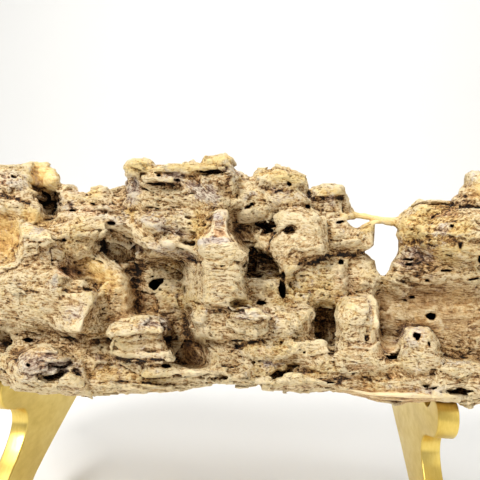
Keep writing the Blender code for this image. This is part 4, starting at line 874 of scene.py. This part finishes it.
# brown wood, and painted shade under ledges, inside hollows and on faces turned down
BROWN_AND_SHADE = [(456, 208, 26, 12, -20, 0.9), (424, 246, 30, 20, -20, 0.3), (418, 328, 18, 12, 0, 0.6), (30, 358, 30, 10, 0, 0.65), (60, 378, 26, 6, 0, 0.5), (212, 178, 16, 11, 0, 0.6), (150, 176, 16, 4, 0, 0.5), (40, 193, 9, 7, 35, 1.0), (446, 306, 60, 32, 0, 0.42), (76, 272, 16, 6, 10, 0.75), (139, 288, 8, 24, 0, 1.0), (120, 248, 22, 16, 25, 0.25), (105, 246, 6, 13, 20, 0.9), (112, 268, 14, 6, 30, 0.45), (118, 322, 12, 10, 0, 0.4), (134, 262, 12, 8, 30, 0.8), (158, 326, 13, 7, 0, 0.6),
         (264, 266, 20, 15, 0, 1.0), (324, 322, 10, 14, 0, 0.9), (188, 342, 9, 24, 0, 0.8), (265, 226, 12, 7, 0, 0.9), (246, 234, 18, 12, 10, 0.45),
         (48, 202, 12, 10, 0, 1.0), (78, 368, 5, 7, 0, 0.8), (4, 341, 14, 7, 0, 0.8), (283, 286, 6, 14, 0, 0.9),
         (84, 342, 26, 8, 0, 0.5), (460, 350, 18, 8, 0, 0.55), (388, 354, 10, 5, 0, 0.9), (168, 338, 5, 14, 0, 0.8),
         (164, 184, 26, 3, 0, 0.8), (160, 197, 24, 8, 0, 0.3), (212, 178, 18, 10, 0, 0.35), (96, 276, 16, 6, 35, 0.3), (440, 230, 44, 24, 0, 0.35), (378, 219, 26, 4, 8, 0.6), (380, 396, 60, 5, 5, 0.9), (219, 224, 10, 12, 0, 0.4), (98, 316, 12, 14, 0, 0.35), (172, 262, 26, 3, 0, 0.6),
         (308, 260, 16, 4, 0, 0.6), (228, 178, 6, 12, 0, 0.5), (420, 268, 30, 10, 0, 0.4), (192, 356, 10, 7, 40, 0.7),
         (344, 255, 18, 2.5, 0, 0.6)]
# where the light hardly reaches
SHADE = [(22, 356, 20, 7, 0, 0.25), (191, 350, 6, 11, 0, 0.3), (159, 326, 13, 6, 0, 0.6), (176, 180, 6, 5, 0, 0.4), (205, 172.5, 16, 1.8, 0, 0.6), (218, 182, 6, 8, 0, 0.3), (39, 193, 8, 6, 35, 0.6), (219, 221, 8, 11, 0, 0.35), (290, 229, 6.4, 5, 0, 0.7), (105, 248, 6, 14, 20, 0.65), (128, 272, 8, 9, 20, 0.5), (113, 326, 7, 11, 0, 0.35), (141, 268, 8, 12, 20, 0.9), (137.5, 294, 4, 22, 0, 0.8),
         (50, 203, 10, 7, 25, 0.7), (262, 258, 16, 10, 10, 0.7), (323, 324, 9, 14, 0, 0.6), (187, 338, 4.5, 20, 0, 0.8),
         (186, 348, 6, 10, 0, 0.4), (266, 226, 9, 6, 0, 0.9), (170, 260, 26, 2.4, 3, 0.8), (168, 184.5, 24, 1.8, 0, 0.5),
         (72, 269, 10, 4, 10, 0.4), (98, 282, 16, 4, 30, 0.4), (4, 339, 8, 4, 0, 0.25), (166, 340, 4, 12, 0, 0.7),
         (391, 356, 9, 4, 0, 0.7), (462, 354, 12, 4, 0, 0.25), (417, 332, 15, 10, 0, 0.5), (418, 268, 26, 8, 0, 0.8), (410, 262, 10, 8, 0, 0.2), (136, 332, 18, 5, 0, 0.3), (452, 205, 22, 8, -25, 0.4), (308, 260, 16, 3, 5, 0.6), (345, 255, 18, 1.8, 0, 0.6),
         (90, 334, 22, 4, 0, 0.4), (282, 286, 3.5, 13, 0, 0.8), (136, 360, 26, 2.6, 2, 0.7), (136, 336.5, 24, 2, -4, 0.5),
         (250, 340, 18, 2.5, -6, 0.5), (280, 374, 16, 4, -20, 0.6), (420, 262, 26, 3, 5, 0.4),
         (215, 166, 12, 3, -15, 0.4), (224, 178, 4, 10, 0, 0.4), (344, 384, 16, 2, 6, 0.5), (230, 379, 30, 2.2, 2, 0.5)]
RUST = [(346, 284, 14, 22, 0, 0.5), (320, 296, 22, 12, 0, 0.4), (217, 232, 14, 5.5, 0, 1.0), (94, 209, 16, 7, 0, 1.0), (66, 272, 9, 4, 10, 1.0), (150, 300, 16, 8, 0, 0.4), (116, 284, 10, 14, 30, 0.4),
        (32, 240, 16, 4, 0, 0.6), (364, 344, 8, 6, 0, 0.6), (230, 302, 16, 4, 0, 0.4), (266, 350, 14, 6, 0, 0.5),
        (208, 352, 6, 12, 0, 0.4), (14, 200, 10, 6, 0, 0.5), (186, 184, 14, 6, 0, 0.4), (455, 386, 20, 5, 0, 0.5),
        (366, 366, 26, 3, 0, 0.5), (2, 178, 8, 7, 0, 0.8), (180, 372, 22, 6, 0, 0.4), (446, 216, 20, 5, -10, 0.5)]
VIOLET = [(213, 240.5, 17, 4.5, 0, 1.0), (36, 230, 10, 6, 0, 0.6), (136, 182, 6, 5, 0, 0.5), (272, 366, 12, 5, 0, 0.7),
          (48, 280, 5, 7, 0, 0.3), (290, 212, 16, 4, 0, 0.4), (221, 217, 8, 4, 0, 0.6), (372, 352, 5, 8, 0, 0.5)]


def written(name, values):
    layer = wood.data.attributes.new(name, "FLOAT_COLOR", "POINT")
    rgba = np.ones((len(su), 4), np.float32)
    for i, a in enumerate(values):
        rgba[:, i] = a
    layer.data.foreach_set("color", rgba.reshape(-1))


wander = noise(pos[:, 0] / 9, pos[:, 1] / 9, pos[:, 2] / 6, 31) * 5
wander2 = noise(pos[:, 0] / 9, pos[:, 1] / 9, pos[:, 2] / 6, 32) * 4
tu, tv = su + wander, sv + wander2
# painted shade in hollows and painted light on ridges: how much wood lies around each point, near, middling and wide
written("form", (np.clip((c_near - 0.30) / 0.4, 0, 1), np.clip((c_mid - 0.25) / 0.5, 0, 1), np.clip((c_wide - 0.25) / 0.6, 0, 1)))
# gold and mauve tints, and painted light together with pale wood
written("tone", (spots(GOLD, tu, tv, 0.6) * front, spots(MAUVE, tu, tv, 0.7) * front, spots(LIT_AND_PALE, tu, tv, 0.7) * front))
# brown wood with painted shade, grain direction, smoothness, and painted shade where the light hardly reaches
written("kind", (spots(BROWN_AND_SHADE, tu, tv, 0.5) * front, np.maximum(spots(UPRIGHT, su, sv) * front, 0),
                 spots(SMOOTH, su, sv) * front, spots(SHADE, tu, tv, 0.6) * front))
# painted shade: darker inside the ragged holes, along the cracks and along the shadow lines under ledges
hole = np.zeros(len(su), np.float32)
for ring, (u0, v0, ru, rv, turn, y0, deep) in zip(ragged, HOLES):
    m = max(ru, rv) * 1.4 + 3
    close = np.nonzero((np.abs(su - u0) < m) & (np.abs(sv - v0) < m) & (sy > y0 - 12) & (sy < y0 + deep + 3))[0]
    if len(close):
        pu, pv = su[close], sv[close]
        edge, inside = np.full(len(close), 1e9), np.zeros(len(close), bool)
        for (ax, ay), (bx, by) in zip(ring, ring[1:] + ring[:1]):
            ex, ey = bx - ax, by - ay
            t = np.clip(((pu - ax) * ex + (pv - ay) * ey) / (ex * ex + ey * ey + 1e-9), 0, 1)
            edge = np.minimum(edge, np.hypot(pu - ax - ex * t, pv - ay - ey * t))
            if ay != by:
                inside ^= ((ay > pv) != (by > pv)) & (pu < ex * (pv - ay) / (by - ay) + ax)
        edge = np.where(inside, -edge, edge)
        hole[close] = np.maximum(hole[close], np.clip((0.9 - edge) / 1.2, 0, 1))
for joints in CRACKS_AND_SHADOW_LINES:
    for p, q in zip(joints, joints[1:]):
        eu, ev = q[0] - p[0], q[1] - p[1]
        t = np.clip(((su - p[0]) * eu + (sv - p[1]) * ev) / (eu * eu + ev * ev), 0, 1)
        far = np.hypot(su - p[0] - eu * t, sv - p[1] - ev * t)
        hole = np.maximum(hole, 0.8 * np.clip((p[3] + 1.1 - far) / 1.0, 0, 1) * (np.abs(sy - p[2]) < 8))
written("lean", (spots(RISING, su, sv) * front, spots(FALLING, su, sv) * front, spots(STRIPED, su, sv) * front))
written("mark", (hole, spots(RUST, tu, tv, 0.6) * front, spots(VIOLET, tu, tv, 0.6) * front,
                 np.maximum(spots(RIDDLED, tu, tv), 0.4 * (1 - front))))
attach(wood, "root")
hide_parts("agarwood")


# ---- finishes ------------------------------------------------------------------------
class Nodes:
    """Short names for building a node tree."""

    def __init__(self, name):
        self.mat = bpy.data.materials.new(name)
        self.mat.use_nodes = True
        self.tree = self.mat.node_tree
        self.shader = self.tree.nodes["Principled BSDF"]
        self.place = self.add("ShaderNodeTexCoord").outputs["Object"]

    def add(self, kind, **values):
        n = self.tree.nodes.new(kind)
        for k, val in values.items():
            setattr(n, k, val)
        return n

    def join(self, a, b):
        self.tree.links.new(a, b)

    def put(self, socket, value):
        if hasattr(value, "is_output"):
            self.join(value, socket)
        else:
            socket.default_value = value

    def math(self, op, a, b=0.0, c=None, clamp=False):
        n = self.add("ShaderNodeMath", operation=op, use_clamp=clamp)
        self.put(n.inputs[0], a)
        self.put(n.inputs[1], b)
        if c is not None:
            self.put(n.inputs[2], c)
        return n.outputs[0]

    def scaled(self, vector, by):
        n = self.add("ShaderNodeMapping")
        self.put(n.inputs["Vector"], vector)
        n.inputs["Scale"].default_value = by
        return n.outputs[0]

    def noise(self, vector, scale, detail=4.0, rough=0.55, warp=0.0):
        n = self.add("ShaderNodeTexNoise")
        self.put(n.inputs["Vector"], vector)
        n.inputs["Scale"].default_value = scale
        n.inputs["Detail"].default_value = detail
        n.inputs["Roughness"].default_value = rough
        n.inputs["Distortion"].default_value = warp
        return n.outputs["Fac"]

    def cells(self, vector, scale, feature="F1", random=1.0):
        n = self.add("ShaderNodeTexVoronoi", feature=feature)
        self.put(n.inputs["Vector"], vector)
        n.inputs["Scale"].default_value = scale
        n.inputs["Randomness"].default_value = random
        return n

    def mix(self, f, a, b, mode="MIX"):
        n = self.add("ShaderNodeMix", data_type="RGBA", blend_type=mode)
        self.put(n.inputs[0], f)
        self.put(n.inputs[6], a)
        self.put(n.inputs[7], b)
        return n.outputs[2]

    def blend(self, f, a, b):
        n = self.add("ShaderNodeMix", data_type="FLOAT")
        self.put(n.inputs[0], f)
        self.put(n.inputs[2], a)
        self.put(n.inputs[3], b)
        return n.outputs[0]

    def ramp(self, f, stops, mode="LINEAR"):
        n = self.add("ShaderNodeValToRGB")
        n.color_ramp.interpolation = mode
        e = n.color_ramp.elements
        while len(e) < len(stops):
            e.new(0.5)
        for el, (at, colour) in zip(e, stops):
            el.position = at
            el.color = (*colour, 1.0)
        self.put(n.inputs[0], f)
        return n.outputs["Color"]

    def span(self, v, lo, hi, to_lo=0.0, to_hi=1.0):
        n = self.add("ShaderNodeMapRange")
        n.clamp = True
        self.put(n.inputs[0], v)
        for i, val in enumerate((lo, hi, to_lo, to_hi)):
            self.put(n.inputs[1 + i], val)
        return n.outputs[0]

    def channels(self, name):
        a = self.add("ShaderNodeAttribute", attribute_name=name)
        s = self.add("ShaderNodeSeparateColor")
        self.join(a.outputs["Color"], s.inputs[0])
        return s.outputs[0], s.outputs[1], s.outputs[2], a.outputs["Alpha"]

    def bump(self, height, distance, strength=1.0, normal=None):
        n = self.add("ShaderNodeBump")
        n.inputs["Strength"].default_value = strength
        n.inputs["Distance"].default_value = distance
        self.join(height, n.inputs["Height"])
        if normal is not None:
            self.join(normal, n.inputs["Normal"])
        return n.outputs["Normal"]


def wood_finish():
    m = Nodes("weathered_agarwood")
    painted_shading_fine, painted_shading_mid, painted_shading_wide = m.channels("form")[:3]
    gold, mauve, lit_and_pale = m.channels("tone")[:3]
    brown_and_shade, upright, smooth, shade = m.channels("kind")
    hole, rust, violet, riddled = m.channels("mark")
    rising, falling, striped = m.channels("lean")[:3]
    # the grain wanders, so the fibres are read from bent coordinates
    bend = m.add("ShaderNodeTexNoise")
    bend.inputs["Scale"].default_value = 55
    bend.inputs["Detail"].default_value = 2
    m.join(m.place, bend.inputs["Vector"])
    shift = m.add("ShaderNodeVectorMath", operation="MULTIPLY_ADD")
    m.join(bend.outputs["Color"], shift.inputs[0])
    shift.inputs[1].default_value = (0.006, 0.006, 0.008)
    m.join(m.place, shift.inputs[2])
    at = shift.outputs[0]
    flat = m.noise(m.scaled(at, (300, 800, 1500)), 1.0, 4, 0.64)
    tall = m.noise(m.scaled(at, (1500, 800, 300)), 1.0, 4, 0.64)
    fibre = m.blend(upright, flat, tall)
    for amount, angle, seed in ((rising, 38, 3.0), (falling, -38, 7.0)):
        turned = m.add("ShaderNodeMapping")
        m.join(at, turned.inputs["Vector"])
        turned.inputs["Rotation"].default_value = (0, math.radians(angle), 0)
        turned.inputs["Location"].default_value = (seed, 0, 0)
        slanted = m.noise(m.scaled(turned.outputs[0], (300, 800, 1500)), 1.0, 4, 0.64)
        fibre = m.blend(amount, fibre, slanted)
    wave = m.add("ShaderNodeTexWave", wave_type="BANDS", bands_direction="Z", wave_profile="SIN")
    m.join(at, wave.inputs["Vector"])
    for name, value in (("Scale", 118), ("Distortion", 5.5), ("Detail", 3), ("Detail Scale", 1.6), ("Detail Roughness", 0.6)):
        wave.inputs[name].default_value = value
    line = m.math("MULTIPLY", m.span(wave.outputs["Fac"], 0.42, 0.05), striped)
    mottle = m.noise(at, 210, 6, 0.7)
    patch = m.noise(at, 60, 4, 0.6)
    grit = m.noise(at, 900, 3, 0.7)
    calm = m.math("SUBTRACT", 1.0, m.math("MULTIPLY", smooth, 0.55))
    # open pores, and a pepper of smaller ones
    pore_flat = m.cells(m.scaled(at, (360, 640, 640)), 1.0).outputs["Distance"]
    pore_tall = m.cells(m.scaled(at, (640, 640, 360)), 1.0).outputs["Distance"]
    pore = m.blend(upright, pore_flat, pore_tall)
    where = m.span(mottle, 0.40, 0.62)
    size = m.math("MULTIPLY", where, m.math("SUBTRACT", 0.40, m.math("MULTIPLY", smooth, 0.34)))
    pore = m.span(m.math("SUBTRACT", size, pore), -0.05, 0.06)
    speck = m.cells(m.scaled(at, (780, 1000, 1100)), 1.0).outputs["Distance"]
    speck_size = m.math("MULTIPLY", m.span(patch, 0.36, 0.62), m.math("SUBTRACT", 0.40, m.math("MULTIPLY", smooth, 0.30)))
    speck_size = m.math("ADD", speck_size, m.math("MULTIPLY", riddled, 0.12))
    speck = m.span(m.math("SUBTRACT", speck_size, speck), -0.06, 0.08)
    # lightness of the wood, with painted light and painted shade added to it
    v = m.math("MULTIPLY", m.math("SUBTRACT", fibre, 0.5), 2.3)
    v = m.math("ADD", v, m.math("MULTIPLY", m.math("SUBTRACT", mottle, 0.5), 1.2))
    v = m.math("ADD", v, m.math("MULTIPLY", m.math("SUBTRACT", grit, 0.5), 1.5))
    v = m.math("MULTIPLY", v, calm)
    v = m.math("ADD", v, m.math("MULTIPLY", m.math("SUBTRACT", patch, 0.5), 0.7))
    v = m.math("ADD", v, 0.685)
    # painted shade in hollows and creases and painted light on ridges, from how much wood lies around each point
    v = m.math("ADD", v, m.math("MULTIPLY", m.math("SUBTRACT", 0.5, painted_shading_fine), 0.85))
    v = m.math("ADD", v, m.math("MULTIPLY", m.math("SUBTRACT", 0.5, painted_shading_mid), 0.50))
    v = m.math("ADD", v, m.math("MULTIPLY", m.math("SUBTRACT", 0.45, painted_shading_wide), 0.30))
    # painted light on faces that stand in the light, together with pale wood
    v = m.math("ADD", v, m.math("MULTIPLY", lit_and_pale, 0.12))
    # brown wood, and painted shade under ledges and inside hollows
    v = m.math("SUBTRACT", v, m.math("MULTIPLY", brown_and_shade, 0.26))
    v = m.math("SUBTRACT", v, m.math("MULTIPLY", mauve, 0.07))
    v = m.math("SUBTRACT", v, m.math("MULTIPLY", line, 0.17))
    v = m.math("SUBTRACT", v, m.math("MULTIPLY", pore, 0.30))
    v = m.math("SUBTRACT", v, m.math("MULTIPLY", speck, 0.22))
    # painted shade inside the holes, along the cracks and along the shadow lines under ledges
    v = m.math("SUBTRACT", v, m.math("MULTIPLY", hole, 0.75))
    v = m.math("SUBTRACT", v, m.math("MULTIPLY", shade, 0.34))
    v = m.math("MAXIMUM", m.math("MINIMUM", v, 1.0), 0.0)
    straw = m.ramp(v, [(0.0, (0.010, 0.006, 0.003)), (0.20, (0.105, 0.046, 0.014)), (0.38, (0.285, 0.15, 0.052)),
                       (0.55, (0.485, 0.30, 0.132)), (0.74, (0.675, 0.49, 0.26)), (1.0, (0.85, 0.695, 0.43))])
    amber = m.ramp(v, [(0.0, (0.03, 0.012, 0.003)), (0.25, (0.19, 0.085, 0.02)), (0.5, (0.48, 0.26, 0.07)),
                       (0.75, (0.70, 0.45, 0.155)), (1.0, (0.84, 0.64, 0.29))])
    dusk = m.ramp(v, [(0.0, (0.013, 0.009, 0.008)), (0.25, (0.12, 0.064, 0.044)), (0.5, (0.305, 0.20, 0.15)),
                      (0.75, (0.52, 0.41, 0.32)), (1.0, (0.74, 0.645, 0.52))])
    red = m.ramp(v, [(0.0, (0.02, 0.007, 0.003)), (0.25, (0.13, 0.05, 0.02)), (0.5, (0.42, 0.20, 0.09)),
                     (0.75, (0.70, 0.42, 0.22)), (1.0, (0.90, 0.72, 0.48))])
    lilac = m.ramp(v, [(0.0, (0.02, 0.015, 0.025)), (0.3, (0.12, 0.095, 0.115)), (0.6, (0.36, 0.305, 0.325)),
                       (1.0, (0.62, 0.56, 0.56))])
    tint = m.noise(at, 125, 4, 0.65)
    fleck = m.math("MULTIPLY", m.math("SUBTRACT", m.noise(at, 430, 3, 0.7), 0.5), 2.2)
    drift = m.math("MULTIPLY", m.math("SUBTRACT", patch, 0.5), 1.4)
    drift2 = m.math("ADD", m.math("MULTIPLY", m.math("SUBTRACT", tint, 0.5), 2.2), fleck)
    g = m.span(m.math("ADD", m.math("ADD", m.math("MULTIPLY", gold, 1.15), drift), drift2), 0.0, 0.75)
    q = m.span(m.math("SUBTRACT", m.math("SUBTRACT", m.math("MULTIPLY", mauve, 1.1), m.math("MULTIPLY", drift2, 0.9)), drift), 0.26, 0.95)
    e = m.span(m.math("ADD", m.math("ADD", rust, m.math("MULTIPLY", drift2, 1.2)), m.math("MULTIPLY", brown_and_shade, 0.25)), 0.30, 0.95)
    w = m.span(m.math("SUBTRACT", violet, m.math("MULTIPLY", drift2, 0.8)), 0.35, 0.9)
    colour = m.mix(g, straw, amber)
    colour = m.mix(m.math("MULTIPLY", q, 0.85), colour, dusk)
    colour = m.mix(m.math("MULTIPLY", e, 0.75), colour, red)
    colour = m.mix(m.math("MULTIPLY", w, 0.6), colour, lilac)
    m.join(colour, m.shader.inputs["Base Color"])
    rough = m.span(m.math("ADD", mottle, m.math("MULTIPLY", smooth, -0.25)), 0.2, 0.7, 0.55, 0.92)
    m.join(rough, m.shader.inputs["Roughness"])
    m.shader.inputs["Specular IOR Level"].default_value = 0.3
    height = m.math("ADD", m.math("MULTIPLY", fibre, 1.1), m.math("MULTIPLY", grit, 0.5))
    height = m.math("ADD", height, m.math("MULTIPLY", mottle, 0.9))
    height = m.math("MULTIPLY", height, calm)
    height = m.math("SUBTRACT", height, m.math("MULTIPLY", pore, 0.8))
    height = m.math("SUBTRACT", height, m.math("MULTIPLY", speck, 0.45))
    height = m.math("SUBTRACT", height, m.math("MULTIPLY", line, 0.6))
    m.join(m.bump(height, 0.0015, 0.95), m.shader.inputs["Normal"])
    return m.mat


def gold_finish():
    m = Nodes("satin_gold")
    cloud = m.noise(m.place, 60, 4, 0.6)
    brushed = m.noise(m.scaled(m.place, (900, 90, 260)), 1.0, 3, 0.6)
    fine = m.noise(m.place, 1600, 2, 0.6)
    tone = m.math("ADD", m.math("MULTIPLY", cloud, 0.6), m.math("MULTIPLY", brushed, 0.4))
    colour = m.ramp(tone, [(0.25, (0.58, 0.40, 0.075)), (0.5, (0.72, 0.53, 0.13)), (0.75, (0.82, 0.64, 0.20))])
    m.join(colour, m.shader.inputs["Base Color"])
    m.shader.inputs["Metallic"].default_value = 0.85
    m.join(m.span(tone, 0.3, 0.7, 0.42, 0.30), m.shader.inputs["Roughness"])
    height = m.math("ADD", m.math("MULTIPLY", brushed, 0.6), m.math("MULTIPLY", fine, 0.4))
    m.join(m.bump(height, 0.00012, 0.35), m.shader.inputs["Normal"])
    return m.mat


wood.data.materials.clear()
wood.data.materials.append(wood_finish())
gold_mat = gold_finish()
for name in ("stand_rod_lower", "stand_rod_upper"):
    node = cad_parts[name]
    node.data.materials.clear()
    node.data.materials.append(gold_mat)

# the side plates again, with their curves and rounded edges in full; (y, z) in mm before the shift
LEDGE_Z, BACK_Y = 90.0, 62.0
PLATE = [(-36.5, 1.5), (-37.5, 5), (-34, 9), (-27, 16), (-19, 24.5), (-10, 32.5), (-3, 38), (4, 43.5), (10, 49.5), (14, 55.5),
         (15.4, 61), (13.5, 67), (8, 70.6), (1, 73), (-6, 76.3), (-10.4, 82), (-10.8, 88), (-8.2, 92.6), (-3.5, 94),
         (1.4, 92.4), (4.6, 88.6), (8, 85.8), (12, 85.6), (16, 87.6), (20, LEDGE_Z), (30, LEDGE_Z), (45, LEDGE_Z),
         (58, LEDGE_Z), (BACK_Y, LEDGE_Z + 2.5), (BACK_Y + 1.0, 104), (BACK_Y + 2.4, 120), (BACK_Y + 5.2, 136),
         (BACK_Y + 9, 148), (BACK_Y + 13, 154.5), (BACK_Y + 18, 155.5), (BACK_Y + 21, 151), (BACK_Y + 19.6, 143),
         (BACK_Y + 16.2, 129), (BACK_Y + 15, 114), (BACK_Y + 17, 99), (85, 86), (91, 74), (95, 65), (95.5, 58), (92, 53.8),
         (86, 51), (76, 47), (62, 41.2), (46, 34.4), (32, 28), (22, 22.6), (16.5, 18), (15.5, 14), (19, 11.4), (27, 10.1),
         (35, 8.8), (42, 7.2), (47.5, 5.4), (50.3, 3.4), (49.6, 1.1), (46, 0), (38, 0), (32, 0.4), (27, 2.6), (18, 4.2),
         (8, 4.1), (0, 3.6), (-8, 2.2), (-13, 0.3), (-20, 0), (-30, 0)]
for label, side in (("left", -1), ("right", 1)):
    curve = bpy.data.curves.new("plate_" + label, "CURVE")
    curve.dimensions = "2D"
    curve.fill_mode = "BOTH"
    curve.extrude = 0.0041
    curve.bevel_depth = 0.0009
    curve.bevel_resolution = 4
    curve.offset = -0.0009
    curve.resolution_u = 12
    spline = curve.splines.new("BEZIER")
    spline.bezier_points.add(len(PLATE) - 1)
    for bp, (y, z) in zip(spline.bezier_points, PLATE):
        # the feet stand flat on the table
        bp.co = (y * MM, max(z, 0.95) * MM, 0)
        bp.handle_left_type = bp.handle_right_type = "VECTOR" if z == LEDGE_Z else "AUTO"
    spline.use_cyclic_u = True
    guide = bpy.data.objects.new("plate_guide", curve)
    bpy.context.scene.collection.objects.link(guide)
    bpy.context.view_layer.update()
    me = bpy.data.meshes.new_from_object(guide.evaluated_get(bpy.context.evaluated_depsgraph_get()))
    me.transform(Matrix.Translation(Vector((side * 114 + SHIFT[0], SHIFT[1], SHIFT[2])) * MM)
                 @ Matrix(((0, 0, 1, 0), (1, 0, 0, 0), (0, 1, 0, 0), (0, 0, 0, 1))))
    bpy.data.objects.remove(guide)
    bm = bmesh.new()
    bm.from_mesh(me)
    bmesh.ops.remove_doubles(bm, verts=bm.verts, dist=0.00001)
    bmesh.ops.recalc_face_normals(bm, faces=bm.faces)
    bm.to_mesh(me)
    bm.free()
    me.materials.clear()
    me.materials.append(gold_mat)
    me.shade_smooth()
    me.set_sharp_from_angle(angle=math.radians(40))
    plate = bpy.data.objects.new("gold_plate_" + label, me)
    bpy.context.scene.collection.objects.link(plate)
    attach(plate, "root")
    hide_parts("stand_side_" + label)

# ---- the studio ----------------------------------------------------------------------
scene = bpy.context.scene
floor_mat = Nodes("pale_floor")
floor_mat.shader.inputs["Base Color"].default_value = (0.86, 0.86, 0.85, 1)
floor_mat.shader.inputs["Roughness"].default_value = 0.85
bpy.ops.mesh.primitive_plane_add(size=1)
floor = bpy.context.object
floor.name = "floor"
bm = bmesh.new()
W, NEAR, BACK, HIGH, BEND = 3.0, -2.0, 0.9, 2.2, 0.5
profile = [(NEAR, 0.0), (BACK - BEND, 0.0)]
profile += [(BACK - BEND + BEND * math.sin(t), BEND - BEND * math.cos(t)) for t in np.linspace(0.08, math.pi / 2, 16)]
profile += [(BACK, HIGH)]
rows = [[bm.verts.new((x, y, z)) for y, z in profile] for x in (-W, W)]
for i in range(len(profile) - 1):
    bm.faces.new((rows[0][i], rows[1][i], rows[1][i + 1], rows[0][i + 1]))
bm.to_mesh(floor.data)
bm.free()
floor.data.shade_smooth()
floor.data.materials.append(floor_mat.mat)

world = bpy.data.worlds.new("studio")
scene.world = world
world.use_nodes = True
world.node_tree.nodes["Background"].inputs[0].default_value = (1.0, 0.99, 0.97, 1)
world.node_tree.nodes["Background"].inputs[1].default_value = 0.36
scene.view_settings.view_transform = "Standard"


def lamp(name, place, aim, size, power, colour=(1, 1, 1)):
    data = bpy.data.lights.new(name, "AREA")
    data.shape = "RECTANGLE"
    data.size, data.size_y = size
    data.energy = power
    data.color = colour
    ob = bpy.data.objects.new(name, data)
    scene.collection.objects.link(ob)
    ob.location = place
    ob.rotation_euler = (Vector(aim) - Vector(place)).to_track_quat("-Z", "Y").to_euler()
    return ob


lamp("key", (-0.50, -0.80, 1.00), (0, -0.05, 0.15), (0.45, 0.35), 15.0, (1.0, 0.985, 0.955))
lamp("top", (0.10, 0.00, 1.2), (0, 0, 0.12), (0.9, 0.6), 7.5, (1.0, 0.99, 0.97))
lamp("fill", (0.9, -0.9, 0.5), (0, 0, 0.13), (0.8, 0.8), 3.6, (1.0, 0.99, 0.98))

cam_data = bpy.data.cameras.new("view")
cam_data.sensor_width = 36
cam_data.lens = 36 * FOCUS / 480
cam_data.clip_start, cam_data.clip_end = 0.01, 20
cam = bpy.data.objects.new("view", cam_data)
scene.collection.objects.link(cam)
eye = (EYE + SHIFT) * MM
cam.matrix_world = Matrix(((RIGHT[0], UP[0], -FWD[0], eye[0]), (RIGHT[1], UP[1], -FWD[1], eye[1]),
                           (RIGHT[2], UP[2], -FWD[2], eye[2]), (0, 0, 0, 1)))
scene.camera = cam
